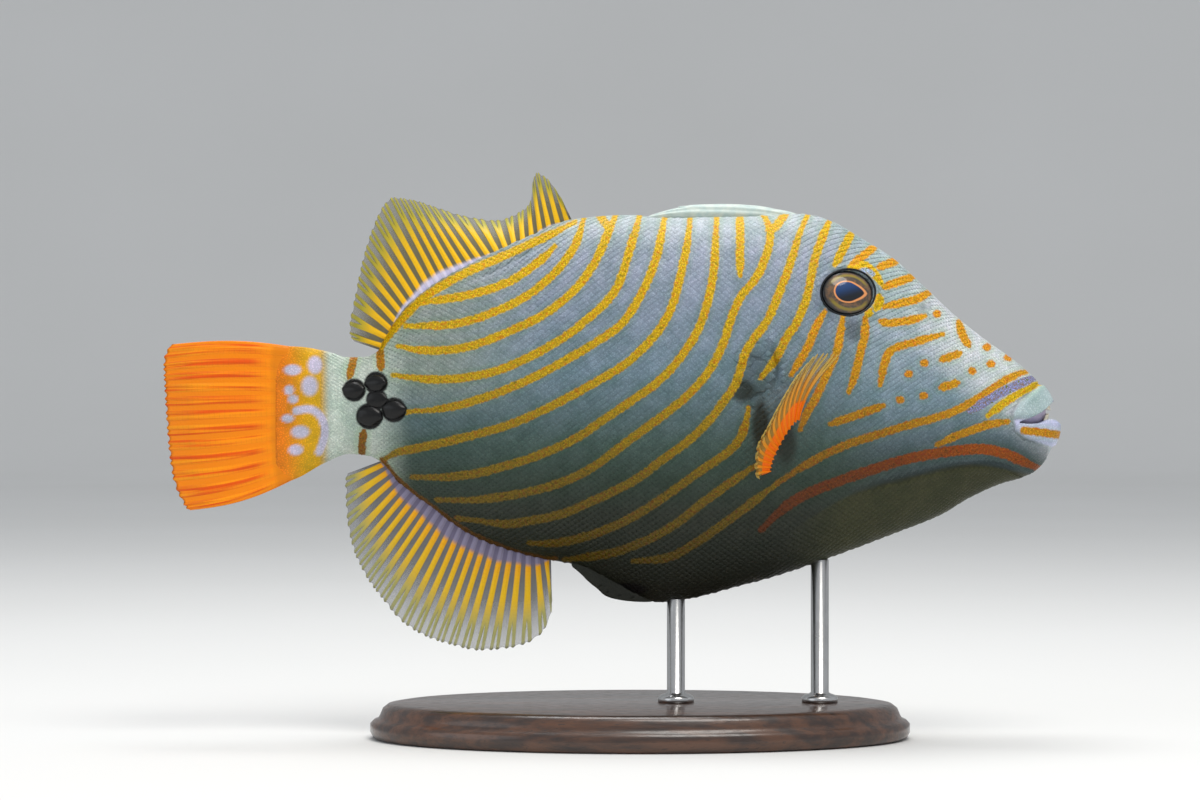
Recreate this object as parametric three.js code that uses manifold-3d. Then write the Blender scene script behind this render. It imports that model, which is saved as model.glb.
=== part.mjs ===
// An orange-lined triggerfish (Balistapus undulatus) as a still, life-size display model on a small stand.
// Millimetres, +Z up. The fish swims towards +X, its right side faces -Y, and the stand's foot is z = 0.
import * as THREE from "three";
import { mergeVertices } from "three/addons/utils/BufferGeometryUtils.js";
import Module from "manifold-3d";

const wasm = await Module();
wasm.setup();

// Driving sizes
const GAP = 0.3; // between neighbouring pieces
const TAIL_BASE_X = -76; // where the flesh ends and the caudal fin starts
const SNOUT_X = 93.2;
const PEDUNCLE_CUT_X = -51;
const HEAD_CUT = { x: 32.5, z: 83, lean: -0.25 }; // runs just ahead of the gill slit and the pectoral fin
const EYE = { x: 45.2, z: 98.6, radius: 6.1, proud: 1.9, rimRadius: 5.3, rimTube: 0.9 };
const LIP_PROUD = 0.5;
const CREASE = { depth: 0.8, lip: 0.6, chin: 0.7, gill: 0.8, nostrilRadius: 0.6 };
const MEMBRANE_HALF = 0.27; // half the thickness of a fin between its rays
const RAYS = { dorsal: 25, anal: 23, caudal: 12, pectoral: 13 };
// Half the thickness of a ray at its root and further out; the tail's swells over its flesh at the root
const RAY_HALF = { middle: [0.9, 0.5], pectoral: [0.8, 0.45], caudal: [2.3, 0.5] };
const FIN_ROWS = { middle: 6, pectoral: 6, caudal: 8 };
const ROOT_SINK = 2; // how deep the middle fins' roots start inside the body before they are cut clear
const SWAY = { dorsal: 7, anal: 4 }; // how far to the side the fins' tips swing
const STAND = { length: 120, width: 70, height: 8, bevel: 1.2, rodRadius: 2, rodX: [40, 8], rodReach: 4 };

// The body's outline and width: x, then the value there
const BACK = [
  [-76, 87.2], [-70, 86.2], [-64.7, 84.8], [-61, 84.9], [-58.4, 86.2], [-57, 88.8], [-54.3, 93.2],
  [-51.4, 96.8], [-44.3, 102.1], [-35.8, 106.6], [-24.7, 111.7], [-15.4, 115.3], [-3, 116.3], [8, 116],
  [24, 116.2], [35.6, 116.8], [42.5, 114.9], [49.2, 111.1], [56.1, 106.8], [63, 100.6], [69.9, 94.1],
  [76.8, 88.6], [83.4, 83.9], [88.6, 79.2], [90.6, 76.8], [91.7, 74.6], [92.7, 71.5], [SNOUT_X, 69.3],
];
const BELLY = [
  [-76, 57.8], [-70.1, 61.1], [-64.7, 63.1], [-60.1, 62.6], [-57.6, 61.2], [-53.6, 56.7], [-46.1, 51],
  [-38.3, 45.4], [-30.7, 42.2], [-22.9, 40], [-14, 38.4], [-6, 34.6], [0, 31.4], [4, 30.1], [10.9, 30.9],
  [20, 33.2], [30, 35.9], [41.4, 39.8], [58.7, 46.3], [66.8, 49.6], [73.6, 53.6], [80.1, 56.5],
  [86.3, 58.4], [89.3, 60.7], [91, 63.2], [92, 65.2], [92.8, 67], [SNOUT_X, 68.4],
];
const HALF_WIDTH = [
  [-76, 2.4], [-70, 3.1], [-64.5, 3.9], [-57, 4.9], [-49, 6.4], [-31, 10], [-9, 13.6], [10, 15.3],
  [28, 16], [38, 15.3], [46, 13.8], [56, 11.6], [68, 9], [80, 6.8], [87, 5.5], [90.5, 4.3], [92.4, 2.6],
  [SNOUT_X, 0.4],
];
const WIDEST_Z = [[-76, 72.5], [-60, 74], [-30, 77], [14, 74], [40, 74], [60, 72], [80, 70], [SNOUT_X, 68.8]];
// How each section narrows to its ridge: 2 is an ellipse, less is sharper, more is rounder
const BACK_POWER = [
  [-76, 2], [-66, 1.8], [-40, 1.6], [-18, 2], [5, 2.5], [28, 2.6], [46, 2.4], [66, 2], [SNOUT_X, 2],
];
const BELLY_POWER = [[-76, 2], [-66, 1.8], [-40, 1.5], [0, 1.5], [40, 1.6], [66, 1.9], [SNOUT_X, 2]];

// Each fin's root and its rays' tips: share along the root, x, z (and y for the paired fins)
const DORSAL_ROOT_X = [-56.9, -15.6];
const DORSAL_TIPS = [
  [0, -64.1, 89.2], [0.09, -63.6, 95.2], [0.25, -60.6, 107.6], [0.33, -58, 115.6], [0.4, -54.6, 120],
  [0.45, -51.6, 120.1], [0.58, -43.2, 117.5], [0.7, -33.6, 115.5], [0.79, -27.6, 117], [0.85, -24.4, 119.6],
  [0.89, -23.6, 125.2], [0.92, -22.7, 126.1], [0.96, -20, 123.9], [1, -16.6, 118],
];
const ANAL_ROOT_X = [-58.2, -20.2];
const ANAL_TIPS = [
  [0, -65.2, 58.8], [0.07, -65.6, 53], [0.14, -64.9, 46], [0.23, -61.4, 36.9], [0.36, -56.2, 29.8],
  [0.48, -49.6, 24], [0.6, -42.4, 21.1], [0.74, -33.8, 19.8], [0.84, -27.1, 20.8], [0.91, -22, 23.6],
  [0.96, -20, 27.2], [1, -19.6, 32],
];
const CAUDAL_TIPS = [
  [0, -100.3, 50.6], [0.06, -101.4, 52], [0.2, -103.9, 58], [0.4, -104.9, 66], [0.7, -105.5, 77.5],
  [0.92, -106.2, 84], [1, -104.4, 87.6],
];
const PECTORAL = {
  root: [[28.4, 59.4], [34.4, 70.6]],
  tips: [
    [0, 25.6, 57.6, 8.4], [0.12, 24.9, 61.2, 9.6], [0.25, 25.2, 65.4, 11], [0.4, 27.6, 70.2, 12.6],
    [0.55, 30.6, 76, 13.4], [0.7, 34.4, 81.8, 12.6], [0.85, 38.6, 85.4, 11.4], [1, 43, 85, 11],
  ],
  sunk: 1.2,
  arch: 1.5,
};
const CAUDAL_BULGE = [-1.6, 1.2]; // how far the tail's lower and upper edges bow outwards

// Drawn lines of the head, as x, z in the side view
const MOUTH_GAP = [
  [83.6, 70.7], [88, 71.1], [90.4, 71.4], [92, 71.1], [97, 71.1], [97, 74.4], [91.6, 74.3], [90.4, 72.9],
  [88, 71.9], [83.6, 71.1],
];
// Each lip's inner edge, and then the corners that close it ahead of the snout
const UPPER_LIP_EDGE = [[82.6, 71], [83, 73], [84.7, 75.2], [86.8, 76.9], [88.6, 78.6], [90.2, 80.4]];
const UPPER_LIP = [...UPPER_LIP_EDGE, [97, 80], [97, 71]];
const LOWER_LIP_EDGE = [[82.6, 70.8], [83.6, 68.2], [85.4, 66.6], [88.2, 65.7], [91.7, 64.6], [94, 63.6]];
const LOWER_LIP = [...LOWER_LIP_EDGE, [97, 64], [97, 71]];
const GILL_SLIT = [[28.9, 87.9], [30.4, 84.6], [30.8, 81.4], [29.8, 77.7]];
const CHIN_CREASE = [
  [86, 58.9], [82.8, 60.1], [74.2, 61], [67.4, 60.1], [60.5, 58.3], [53.8, 56.5], [48.3, 54.7],
];
const NOSTRILS = [[61.8, 97.2], [63.2, 95.6]];
// The teeth stand across the upper jaw, further back the further out they are
const TEETH_Y = [-2.3, -0.8, 0.8, 2.3];
const TOOTH = { rootX: 90.2, rootZ: 76.4, tipX: 91.1, tipZ: 72.9, back: 0.35, radius: 0.75 };
// The bony plates behind the gill slit: x, z, radius
const PLATES = [
  [26.2, 86.2, 1.7], [22.8, 84.6, 1.6], [26.7, 82.4, 1.9], [23.1, 80.6, 1.8], [26.4, 78.4, 1.8],
  [22.6, 76.8, 1.6], [26.2, 74.8, 1.5],
];
const PLATE = { height: 2.2, topShare: 0.55, sunk: 0.5 };
// The forward-bent spines of the tail's root: x, z
const TAIL_SPINES = [[-63.4, 77.2], [-59.2, 79], [-60.1, 71.2], [-55, 73]];
const TAIL_SPINE = { radius: 2, height: 2.6, forward: 1.8, sunk: 1.6 };
// The folded first dorsal fin and the groove that it lies in
const GROOVE = {
  half: 2.3,
  floor: 114.3,
  outline: [[1.5, 122], [3.5, 115.6], [8, 114.3], [31, 114.5], [36.4, 116], [39, 122]],
};
const FOLDED_TOP = [
  [0.6, 116.4], [3, 117.4], [8, 118.4], [17.8, 118.8], [26, 118.5], [33, 117.6], [37.4, 116.3],
];
const FOLDED_HALF = [1.9, 0.5]; // half its thickness at its foot and along its top
const FOLDED_SPINES = [
  { from: [35.6, 0, 115.9], to: [9, 0, 118.3], radius: 1.35 },
  { from: [30.5, 1.1, 115.4], to: [13, 0.9, 116.9], radius: 0.9 },
  { from: [30.5, -1.1, 115.4], to: [13, -0.9, 116.9], radius: 0.9 },
];
// The pelvic flap and the pairs of barbs along its lower edge
const PELVIC = {
  half: 0.9,
  outline: [
    [4.5, 33], [4.2, 30], [-4.5, 30.5], [-7.8, 31.4], [-9.4, 33.2], [-11.2, 34.5], [-13.4, 36.8],
    [-16, 38.8], [-8, 42],
  ],
  barbs: [[-7.2, 32.4], [-4.6, 31.6], [-1.6, 31.2]],
};
const BARB = { ahead: 1, behind: 1.4, out: 1.9, up: 0.5, radius: 0.7 };

const mix = (a, b, t) => a + (b - a) * t;

// A smooth curve through points that doesn't overshoot them
function through(points, column = 1) {
  const xs = points.map((p) => p[0]);
  const ys = points.map((p) => p[column]);
  const last = xs.length - 1;
  const rise = xs.slice(1).map((x, i) => (ys[i + 1] - ys[i]) / (x - xs[i]));
  const slope = xs.map((_, i) => {
    if (i === 0) return rise[0];
    if (i === last) return rise[last - 1];
    return rise[i - 1] * rise[i] <= 0 ? 0 : (2 * rise[i - 1] * rise[i]) / (rise[i - 1] + rise[i]);
  });
  return (x) => {
    if (x <= xs[0]) return ys[0];
    if (x >= xs[last]) return ys[last];
    const i = xs.findIndex((v) => v > x) - 1;
    const width = xs[i + 1] - xs[i];
    const t = (x - xs[i]) / width;
    const ends = (1 + 2 * t) * (1 - t) ** 2 * ys[i] + t * t * (3 - 2 * t) * ys[i + 1];
    return ends + t * (1 - t) ** 2 * width * slope[i] - t * t * (1 - t) * width * slope[i + 1];
  };
}

const back = through(BACK);
const belly = through(BELLY);
const halfWidth = through(HALF_WIDTH);
const widestZ = through(WIDEST_Z);
const backPower = through(BACK_POWER);
const bellyPower = through(BELLY_POWER);

// Half the body's width at a place on its side view
function sideY(x, z) {
  const middle = widestZ(x);
  const up = z > middle;
  const share = (z - middle) / ((up ? back(x) : belly(x)) - middle);
  return halfWidth(x) * Math.max(0, 1 - share * share) ** (1 / (up ? backPower(x) : bellyPower(x)));
}

// The direction straight out of the body's side there, for the side that side is 1 (+Y) or -1 (-Y)
function outward(x, z, side) {
  const step = 0.5;
  const alongX = (sideY(x + step, z) - sideY(x - step, z)) / (2 * step);
  const alongZ = (sideY(x, z + step) - sideY(x, z - step)) / (2 * step);
  return new THREE.Vector3(-alongX, side, -alongZ).normalize();
}

function solid(geometry) {
  const plain = geometry.clone();
  plain.deleteAttribute("normal");
  plain.deleteAttribute("uv");
  const merged = mergeVertices(plain, 1e-4);
  const corners = merged.index.array;
  const triVerts = [];
  for (let i = 0; i < corners.length; i += 3) {
    const [a, b, c] = corners.slice(i, i + 3);
    if (a !== b && b !== c && c !== a) triVerts.push(a, b, c);
  }
  const vertProperties = merged.attributes.position.array;
  const triangles = new Uint32Array(triVerts);
  return new wasm.Manifold(new wasm.Mesh({ numProp: 3, vertProperties, triVerts: triangles }));
}

const joined = (shapes) => shapes.reduce((a, b) => a.add(b));
const largest = (shape) => shape.decompose().reduce((a, b) => (b.volume() > a.volume() ? b : a));

const model = new THREE.Group();

function addNode(name, shape, material) {
  const mesh = largest(shape).getMesh();
  const corners = new Float32Array(mesh.numVert * 3);
  for (let i = 0; i < mesh.numVert; i++) {
    corners.set(mesh.vertProperties.subarray(i * mesh.numProp, i * mesh.numProp + 3), i * 3);
  }
  const geometry = new THREE.BufferGeometry();
  geometry.setAttribute("position", new THREE.BufferAttribute(corners, 3));
  geometry.setIndex(new THREE.BufferAttribute(mesh.triVerts, 1));
  geometry.computeVertexNormals();
  const node = new THREE.Mesh(geometry, material);
  node.name = name;
  model.add(node);
}

// The body's loft: stations along x with a ring of points at each, grown outwards by grow
const RING_POINTS = 28;
const STATION_SPANS = [
  [-76, -62, 4], [-62, -50, 7], [-50, 58, 18], [58, 84, 6], [84, 91, 5], [91, SNOUT_X, 3],
];
const STATIONS = STATION_SPANS.flatMap(([from, to, count]) =>
  Array.from({ length: count }, (_, i) => mix(from, to, i / count)),
).concat(SNOUT_X);

function bodyLoft(grow) {
  const last = STATIONS.length - 1;
  const tube = new THREE.CylinderGeometry(1, 1, 1, RING_POINTS, last);
  const at = tube.attributes.position;
  for (let i = 0; i < at.count; i++) {
    const along = Math.round((0.5 - at.getY(i)) * last);
    const x = STATIONS[along];
    const middle = widestZ(x);
    const end = along === 0 ? -grow : along === last ? grow : 0;
    if (Math.hypot(at.getX(i), at.getZ(i)) < 0.5) {
      at.setXYZ(i, x + end, 0, middle);
      continue;
    }
    const angle = Math.atan2(at.getX(i), at.getZ(i));
    const up = Math.cos(angle) > 0;
    const rise = up ? back(x) + grow - middle : middle - belly(x) + grow;
    const share = Math.abs(Math.sin(angle)) ** (2 / (up ? backPower(x) : bellyPower(x)));
    at.setXYZ(
      i,
      x + end,
      Math.sign(Math.sin(angle)) * share * (halfWidth(x) + grow),
      middle + Math.cos(angle) * rise,
    );
  }
  return solid(tube);
}

// A flat outline in the side view, drawn straight across from one y to another
function slab(outline, fromY, toY) {
  const shape = new THREE.Shape(outline.map(([x, z]) => new THREE.Vector2(x, z)));
  const block = new THREE.ExtrudeGeometry(shape, { depth: toY - fromY, bevelEnabled: false });
  block.translate(0, 0, -toY);
  block.rotateX(Math.PI / 2);
  return solid(block);
}

const FAR = 60; // beyond the fish on every side
const across = (outline) => slab(outline, -FAR, FAR);

// The outline of a drawn line that is width wide
function band(points, width) {
  const left = [];
  const right = [];
  points.forEach(([x, z], i) => {
    const before = points[Math.max(0, i - 1)];
    const after = points[Math.min(points.length - 1, i + 1)];
    const along = new THREE.Vector2(after[0] - before[0], after[1] - before[1]).normalize();
    left.push([x - (along.y * width) / 2, z + (along.x * width) / 2]);
    right.unshift([x + (along.y * width) / 2, z - (along.x * width) / 2]);
  });
  return left.concat(right);
}

function disc([x, z], radius, sides = 8) {
  return Array.from({ length: sides }, (_, i) => {
    const angle = (2 * Math.PI * i) / sides;
    return [x + radius * Math.cos(angle), z + radius * Math.sin(angle)];
  });
}

// A tapered spine from its sunk root to its tip
function spine(from, to, radius, sides = 6) {
  const root = new THREE.Vector3(...from);
  const tip = new THREE.Vector3(...to);
  const way = tip.clone().sub(root);
  const cone = new THREE.ConeGeometry(radius, way.length(), sides);
  const turn = new THREE.Quaternion().setFromUnitVectors(new THREE.Vector3(0, 1, 0), way.normalize());
  cone.applyQuaternion(turn);
  cone.translate(...root.add(tip).multiplyScalar(0.5).toArray());
  return solid(cone);
}

// A thin sheet over a grid: point(s, t) is its middle, half(s, t, column) is half its thickness.
// Both faces are split into triangles alike.
function sheet(columns, rows, point, half) {
  const step = 1e-3;
  const count = (columns + 1) * (rows + 1);
  const corners = new Float32Array(count * 6);
  const corner = (i, j) => i * (rows + 1) + j;
  for (let i = 0; i <= columns; i++) {
    for (let j = 0; j <= rows; j++) {
      const [s, t] = [i / columns, j / rows];
      const middle = point(s, t);
      const alongS = point(s + step, t).sub(point(s - step, t));
      const alongT = point(s, t + step).sub(point(s, t - step));
      const out = alongS.cross(alongT).normalize().multiplyScalar(half(s, t, i));
      corners.set(middle.clone().add(out).toArray(), corner(i, j) * 3);
      corners.set(middle.clone().sub(out).toArray(), (count + corner(i, j)) * 3);
    }
  }
  const faces = [];
  const side = (p, q) => faces.push(q, p, p + count, q, p + count, q + count);
  for (let i = 0; i < columns; i++) {
    for (let j = 0; j < rows; j++) {
      const [a, b, c, d] = [corner(i, j), corner(i + 1, j), corner(i + 1, j + 1), corner(i, j + 1)];
      faces.push(a, b, c, a, c, d);
      faces.push(a + count, c + count, b + count, a + count, d + count, c + count);
    }
    side(corner(i, 0), corner(i + 1, 0));
    side(corner(i + 1, rows), corner(i, rows));
  }
  for (let j = 0; j < rows; j++) {
    side(corner(columns, j), corner(columns, j + 1));
    side(corner(0, j + 1), corner(0, j));
  }
  const geometry = new THREE.BufferGeometry();
  geometry.setAttribute("position", new THREE.BufferAttribute(corners, 3));
  geometry.setIndex(faces);
  return solid(geometry);
}

// Half a rayed fin's thickness: its rays are the odd columns, raised in its own surface
const rayed = ([root, ray]) => (s, t, column) => {
  const isRay = column % 2 === 1;
  const rayHalf = mix(root, ray, Math.min(1, 2 * t)) * mix(1, 0.6, t);
  return isRay ? rayHalf : Math.max(MEMBRANE_HALF, mix(root, 0, 4 * t));
};

function material(colour, roughness) {
  return new THREE.MeshStandardMaterial({ color: colour, roughness, metalness: 0 });
}
const skin = material("#7d93a8", 0.42);
const goldFin = material("#c9a63a", 0.45);
const orangeFin = material("#f08a1c", 0.45);
const eyeFinish = material("#4a3b2c", 0.12);
const darkSpine = material("#2b2a22", 0.4);
const standFinish = material("#35302b", 0.35);

// The solids that the pieces are cut from and cut clear of
const body = bodyLoft(0);
const bodyGrown = bodyLoft(GAP);
const bodyCore = bodyLoft(-CREASE.depth);
const lips = joined([across(UPPER_LIP), across(LOWER_LIP)]).intersect(bodyLoft(LIP_PROUD));
const creased = (outline) => across(outline).subtract(bodyCore);

const headCutX = (z) => HEAD_CUT.x + HEAD_CUT.lean * (z - HEAD_CUT.z);
const aheadOfCut = (shift) => [
  [headCutX(130) + shift, 130], [SNOUT_X + FAR, 130], [SNOUT_X + FAR, 20], [headCutX(20) + shift, 20],
];
const behindX = (x) => [[x, 130], [x, 20], [-FAR * 3, 20], [-FAR * 3, 130]];

function eyeAt(side) {
  const surface = new THREE.Vector3(EYE.x, side * sideY(EYE.x, EYE.z), EYE.z);
  const out = outward(EYE.x, EYE.z, side);
  const centre = surface.clone().addScaledVector(out, EYE.proud - EYE.radius);
  return { surface, out, centre };
}

function eyeBall(side, radius) {
  const ball = new THREE.SphereGeometry(radius, 20, 12);
  ball.translate(...eyeAt(side).centre.toArray());
  return solid(ball);
}

function eyeRim(side) {
  const { surface, out } = eyeAt(side);
  const ring = new THREE.TorusGeometry(EYE.rimRadius, EYE.rimTube, 6, 20);
  ring.applyQuaternion(new THREE.Quaternion().setFromUnitVectors(new THREE.Vector3(0, 0, 1), out));
  ring.translate(...surface.toArray());
  return solid(ring);
}

function plate([x, z, radius], side) {
  const out = outward(x, z, side);
  const cap = new THREE.CylinderGeometry(radius * PLATE.topShare, radius, PLATE.height, 6);
  cap.applyQuaternion(new THREE.Quaternion().setFromUnitVectors(new THREE.Vector3(0, 1, 0), out));
  const middle = new THREE.Vector3(x, side * sideY(x, z), z).addScaledVector(out, -PLATE.sunk);
  cap.translate(...middle.toArray());
  return solid(cap);
}

function tailSpine([x, z], side) {
  const out = outward(x, z, side);
  const surface = new THREE.Vector3(x, side * sideY(x, z), z);
  const root = surface.clone().addScaledVector(out, -TAIL_SPINE.sunk);
  const tip = surface.clone().addScaledVector(out, TAIL_SPINE.height);
  tip.x += TAIL_SPINE.forward;
  return spine(root.toArray(), tip.toArray(), TAIL_SPINE.radius, 8);
}

const SIDES = [-1, 1];
const groove = slab(GROOVE.outline, -GROOVE.half, GROOVE.half);

function tooth(y) {
  const tipX = TOOTH.tipX - Math.abs(y) * TOOTH.back;
  return spine([TOOTH.rootX, y, TOOTH.rootZ], [tipX, y, TOOTH.tipZ], TOOTH.radius, 5);
}

function head() {
  const teeth = TEETH_Y.map(tooth);
  const flesh = joined([body, lips, ...SIDES.map(eyeRim)]);
  const cuts = joined([
    across(MOUTH_GAP),
    creased(band(UPPER_LIP_EDGE, CREASE.lip)),
    creased(band(LOWER_LIP_EDGE, CREASE.lip)),
    creased(band(CHIN_CREASE, CREASE.chin)),
    ...NOSTRILS.map((place) => creased(disc(place, CREASE.nostrilRadius))),
    ...SIDES.map((side) => eyeBall(side, EYE.radius + GAP)),
    groove,
  ]);
  return flesh.intersect(across(aheadOfCut(GAP / 2))).subtract(cuts).add(joined(teeth));
}

function torso() {
  const plates = SIDES.flatMap((side) => PLATES.map((place) => plate(place, side)));
  return joined([body, ...plates])
    .subtract(across(aheadOfCut(-GAP / 2)))
    .subtract(across(behindX(PEDUNCLE_CUT_X + GAP / 2)))
    .subtract(creased(band(GILL_SLIT, CREASE.gill)))
    .subtract(groove);
}

function tailPeduncle() {
  const spines = SIDES.flatMap((side) => TAIL_SPINES.map((place) => tailSpine(place, side)));
  return joined([body, ...spines]).intersect(across(behindX(PEDUNCLE_CUT_X - GAP / 2)));
}

// A middle fin between the body's ridge and its rays' tips; sink is how far its root is moved in z
function middleFin(rays, rootX, edge, sink, tips, sway) {
  const tipX = through(tips, 1);
  const tipZ = through(tips, 2);
  const point = (s, t) => {
    const share = Math.min(1, Math.max(0, s));
    const x = mix(rootX[0], rootX[1], share);
    const z = edge(x) + sink;
    return new THREE.Vector3(mix(x, tipX(share), t), sway(share, t), mix(z, tipZ(share), t));
  };
  return sheet(rays * 2, FIN_ROWS.middle, point, rayed(RAY_HALF.middle)).subtract(bodyGrown);
}

function caudalFin() {
  const tipX = through(CAUDAL_TIPS, 1);
  const tipZ = through(CAUDAL_TIPS, 2);
  const rootX = TAIL_BASE_X - GAP;
  const point = (s, t) => {
    const share = Math.min(1, Math.max(0, s));
    const bulge = mix(CAUDAL_BULGE[0], CAUDAL_BULGE[1], share) * Math.sin(Math.PI * t);
    const rootZ = mix(belly(TAIL_BASE_X), back(TAIL_BASE_X), share);
    return new THREE.Vector3(mix(rootX, tipX(share), t), 0, mix(rootZ, tipZ(share), t) + bulge);
  };
  const [root, ray] = RAY_HALF.caudal;
  const half = (s, t, column) => Math.max(column % 2 ? ray : MEMBRANE_HALF, mix(root, 0, 3 * t));
  return sheet(RAYS.caudal * 2, FIN_ROWS.caudal, point, half);
}

function pectoralFin(side) {
  const [low, high] = PECTORAL.root;
  const tipX = through(PECTORAL.tips, 1);
  const tipZ = through(PECTORAL.tips, 2);
  const tipOut = through(PECTORAL.tips, 3);
  const point = (s, t) => {
    const share = Math.min(1, Math.max(0, s));
    const [x, z] = [mix(low[0], high[0], share), mix(low[1], high[1], share)];
    const skinY = sideY(x, z);
    const y = mix(skinY - PECTORAL.sunk, skinY + tipOut(share), t);
    const arch = PECTORAL.arch * Math.sin(Math.PI * t);
    return new THREE.Vector3(mix(x, tipX(share), t) - arch, side * y, mix(z, tipZ(share), t));
  };
  return sheet(RAYS.pectoral * 2, FIN_ROWS.pectoral, point, rayed(RAY_HALF.pectoral)).subtract(bodyGrown);
}

function foldedFin() {
  const top = through(FOLDED_TOP);
  const ends = [FOLDED_TOP[0][0], FOLDED_TOP.at(-1)[0]];
  const point = (s, t) => {
    const x = mix(ends[0], ends[1], s);
    return new THREE.Vector3(x, 0, mix(GROOVE.floor - 1, top(x), t));
  };
  const blade = sheet(14, 3, point, (s, t) => mix(FOLDED_HALF[0], FOLDED_HALF[1], t));
  const clearOutline = GROOVE.outline.map(([x, z], i) => [x + (i < 2 ? GAP : i > 3 ? -GAP : 0), z + GAP]);
  const inner = slab(clearOutline, GAP - GROOVE.half, GROOVE.half - GAP);
  const spines = FOLDED_SPINES.map(({ from, to, radius }) => spine(from, to, radius));
  return joined([blade, ...spines]).subtract(bodyGrown.subtract(inner));
}

function pelvicFlap() {
  const barb = (x, z, side) => {
    const tip = [x - BARB.behind, side * BARB.out, z + BARB.up];
    return spine([x + BARB.ahead, 0, z], tip, BARB.radius, 5);
  };
  const barbs = PELVIC.barbs.flatMap(([x, z]) => SIDES.map((side) => barb(x, z, side)));
  return joined([slab(PELVIC.outline, -PELVIC.half, PELVIC.half), ...barbs]).subtract(bodyGrown);
}

function standBase() {
  const oval = new THREE.Shape();
  oval.absellipse(0, 0, STAND.length / 2 - STAND.bevel, STAND.width / 2 - STAND.bevel, 0, 2 * Math.PI);
  const board = new THREE.ExtrudeGeometry(oval, {
    depth: STAND.height - 2 * STAND.bevel,
    bevelThickness: STAND.bevel,
    bevelSize: STAND.bevel,
    bevelSegments: 2,
    curveSegments: 24,
  });
  board.translate(0, 0, STAND.bevel);
  return solid(board);
}

function standRod(x) {
  const from = STAND.height + GAP;
  const to = belly(x) + STAND.rodReach;
  const rod = new THREE.CylinderGeometry(STAND.rodRadius, STAND.rodRadius, to - from, 16);
  rod.rotateX(Math.PI / 2);
  rod.translate(x, 0, (from + to) / 2);
  return solid(rod).subtract(bodyGrown);
}

// The fins sway a little, as they do when the fish hovers
const swing = (s, from, waves) => Math.sin(Math.PI * (from + waves * s));
const dorsalSway = (s, t) => SWAY.dorsal * t * t * swing(s, 1.15, 1.9) * Math.min(1, s / 0.05);
const analSway = (s, t) => SWAY.anal * t * t * swing(s, 0.2, 1.6);

addNode("head", head(), skin);
addNode("torso", torso(), skin);
addNode("tail_peduncle", tailPeduncle(), skin);
addNode("caudal_fin", caudalFin(), orangeFin);
addNode("first_dorsal_fin", foldedFin(), skin);
const dorsal = middleFin(RAYS.dorsal, DORSAL_ROOT_X, back, -ROOT_SINK, DORSAL_TIPS, dorsalSway);
addNode("second_dorsal_fin", dorsal, goldFin);
const anal = middleFin(RAYS.anal, ANAL_ROOT_X, belly, ROOT_SINK, ANAL_TIPS, analSway);
addNode("anal_fin", anal, goldFin);
addNode("pelvic_flap", pelvicFlap(), darkSpine);
["right", "left"].forEach((name, i) => {
  addNode("pectoral_fin_" + name, pectoralFin(SIDES[i]), orangeFin);
  addNode("eye_" + name, eyeBall(SIDES[i], EYE.radius), eyeFinish);
});
addNode("stand_base", standBase(), standFinish);
STAND.rodX.forEach((x, i) => addNode(["stand_rod_front", "stand_rod_rear"][i], standRod(x), standFinish));

export default model;
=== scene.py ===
import math

import bmesh
import bpy
import numpy as np
from mathutils import Matrix, Vector


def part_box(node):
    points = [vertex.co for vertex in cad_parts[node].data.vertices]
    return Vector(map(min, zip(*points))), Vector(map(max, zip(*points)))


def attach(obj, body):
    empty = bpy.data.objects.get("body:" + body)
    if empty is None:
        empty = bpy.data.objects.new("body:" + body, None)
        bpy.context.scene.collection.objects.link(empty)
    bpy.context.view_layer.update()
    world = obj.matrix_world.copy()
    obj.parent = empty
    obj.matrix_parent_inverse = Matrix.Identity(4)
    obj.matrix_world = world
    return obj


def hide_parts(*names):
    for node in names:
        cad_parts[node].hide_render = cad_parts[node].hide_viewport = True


# An orange-lined triggerfish, life size, on a small display stand. The sizes below are millimetres and every
# piece is made metres by MM. The fish swims towards +X and its right side faces -Y.

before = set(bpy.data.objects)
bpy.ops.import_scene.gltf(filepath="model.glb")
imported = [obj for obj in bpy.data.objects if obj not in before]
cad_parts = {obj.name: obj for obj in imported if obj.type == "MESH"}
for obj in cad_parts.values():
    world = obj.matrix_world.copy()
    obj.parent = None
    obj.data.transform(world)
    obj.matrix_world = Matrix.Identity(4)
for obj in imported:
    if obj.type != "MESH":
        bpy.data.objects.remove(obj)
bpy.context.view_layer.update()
MM = 0.001

# How the photograph was read: one pixel on the fish's middle plane, and where the lens stood
PIXEL = 0.2225
PHOTO_X, PHOTO_Z = 640, 738
LENS = {"x": -8.9, "z": 75.2, "distance": 741.7, "focal": 100, "sensor": 36}

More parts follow.
